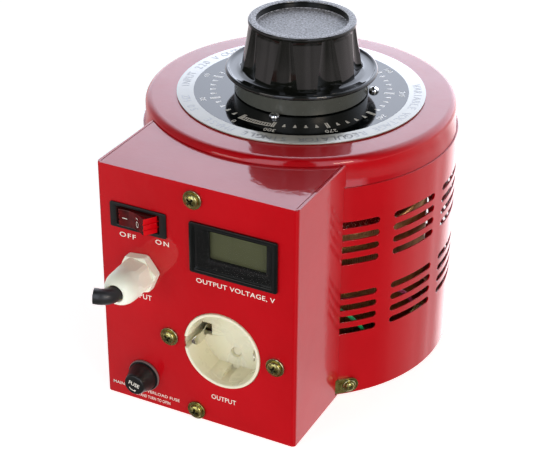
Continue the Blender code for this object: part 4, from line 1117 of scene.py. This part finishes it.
# Brightness of the mirrored studio: (degrees round from the front, brightness)
TABLE_GLOW = [(0, 0.05), (26, 0.05), (30, 0.12), (35, 0.36), (41, 0.36), (45, 0.12), (52, 0.3), (60, 0.25),
              (66, 0.12), (88, 0.06), (96, 0.15), (102, 0.28), (109, 0.38), (121, 0.6), (127, 0.72),
              (133, 0.6), (140, 0.85), (146, 1.2), (152, 0.8), (158, 0.95), (164, 1.6), (170, 2.1),
              (180, 2.5)]
WALL_GLOW = [(-180, 3.2), (-157, 3.4), (-153, 3.2), (-150, 3), (-146, 2.6), (-130, 1.9), (-110, 0.5),
             (-90, 0.15), (-17, 0.15), (-13, 2.4), (11, 2.4), (15, 0.12), (36, 0.12), (39, 2.2), (68, 2),
             (74, 0.15), (90, 0.15), (110, 0.6), (130, 2), (150, 3), (180, 3.2)]
TABLE_EDGE = 0.5
PEAK_GLOW = 4.2
ROOM_ROUND = 1.25
ROOM_ABOVE = 0.05


def glow_round(tree, angle, stops):
    """Brightness that depends on the direction round the object, given in radians."""
    first, last = stops[0][0], stops[-1][0]
    place = node(tree, "MapRange", Value=angle, From_Min=radians(first), From_Max=radians(last))
    table = [((round_to - first) / (last - first), (glow / PEAK_GLOW,) * 3) for round_to, glow in stops]
    return calculate(tree, "MULTIPLY", ramp(tree, place.outputs["Result"], table), PEAK_GLOW)


def make_world():
    """Low light all round for the diffuse surfaces, and a bright back wall and table for the reflections."""
    world = bpy.data.worlds.new("studio")
    bpy.context.scene.world = world
    world.use_nodes = True
    tree = world.node_tree
    tree.nodes.clear()
    direction = node(tree, "TexCoord").outputs["Generated"]
    axes = node(tree, "SeparateXYZ", Vector=direction)
    x, y, z = (axes.outputs[k] for k in ("X", "Y", "Z"))
    angle = calculate(tree, "ARCTAN2", x, calculate(tree, "MULTIPLY", y, -1))
    table = calculate(tree, "ADD", glow_round(tree, calculate(tree, "ABSOLUTE", angle), TABLE_GLOW),
                      step_up(tree, z, -0.34, -0.12, 0, TABLE_EDGE))
    wall = calculate(tree, "MULTIPLY", glow_round(tree, angle, WALL_GLOW),
                     step_up(tree, z, 0.95, 0.75, 0.1))
    above = step_up(tree, z, -0.02, 0.06)
    paths = node(tree, "LightPath")
    low_mirror = node(tree, "Background", Color=(1, 0.9, 0.93, 1), Strength=table)
    high_mirror = node(tree, "Background", Color=(0.93, 1, 1.16, 1), Strength=wall)
    mirror = node(tree, "MixShader", _0=above, _1=low_mirror.outputs[0], _2=high_mirror.outputs[0])
    room = node(tree, "Background", Color=(1, 1, 1, 1),
                Strength=step_up(tree, z, 0.6, 0.3, ROOM_ABOVE, ROOM_ROUND))
    seen = node(tree, "Background", Color=(1, 1, 1, 1))
    lit = node(tree, "MixShader", _0=paths.outputs["Is Glossy Ray"], _1=room.outputs[0], _2=mirror.outputs[0])
    shown = node(tree, "MixShader", _0=paths.outputs["Is Camera Ray"], _1=lit.outputs[0], _2=seen.outputs[0])
    node(tree, "OutputWorld", Surface=shown.outputs[0])


def add_softbox(name, place, target, size, power, colour):
    lamp = bpy.data.lights.new(name, "AREA")
    lamp.shape = "RECTANGLE"
    lamp.size, lamp.size_y = size
    lamp.energy = power
    lamp.color = colour
    softbox = bpy.data.objects.new(name, lamp)
    bpy.context.scene.collection.objects.link(softbox)
    softbox.location = place
    softbox.rotation_euler = (Vector(target) - Vector(place)).to_track_quat("-Z", "Y").to_euler()
    softbox.visible_camera = False


def make_lights():
    add_softbox("key", (-0.55, -1.15, 0.45), (0, -0.05, 0.08), (0.5, 0.4), 2.1, (1, 0.97, 0.92))
    add_softbox("side", (0.95, -0.65, 0.6), (0, 0, 0.12), (0.3, 0.15), 2.8, (1, 0.82, 0.62))


def make_camera():
    """Long lens, looking down at the object from its front right."""
    data = bpy.data.cameras.new("camera")
    data.lens = 102.14
    data.sensor_width = 36
    data.clip_start = 0.05
    data.clip_end = 50
    camera = bpy.data.objects.new("camera", data)
    bpy.context.scene.collection.objects.link(camera)
    yaw, pitch, roll = 26.73, 29.29, 0.4698
    camera.matrix_world = shift(0.3285, -0.6819, 0.4816) @ turn(yaw) @ turn(90 - pitch, "X") @ turn(roll)
    bpy.context.scene.camera = camera


def build():
    steps = (make_drum, make_lid, make_dial, make_screws, make_ears, make_knob, make_box, make_labels,
             make_switch, make_meter, make_socket, make_fuse, make_gland, make_cable, make_winding,
             dress_nodes, make_floor, make_world, make_lights, make_camera)
    for step in steps:
        step()
    bpy.context.scene.view_settings.view_transform = "Standard"


build()
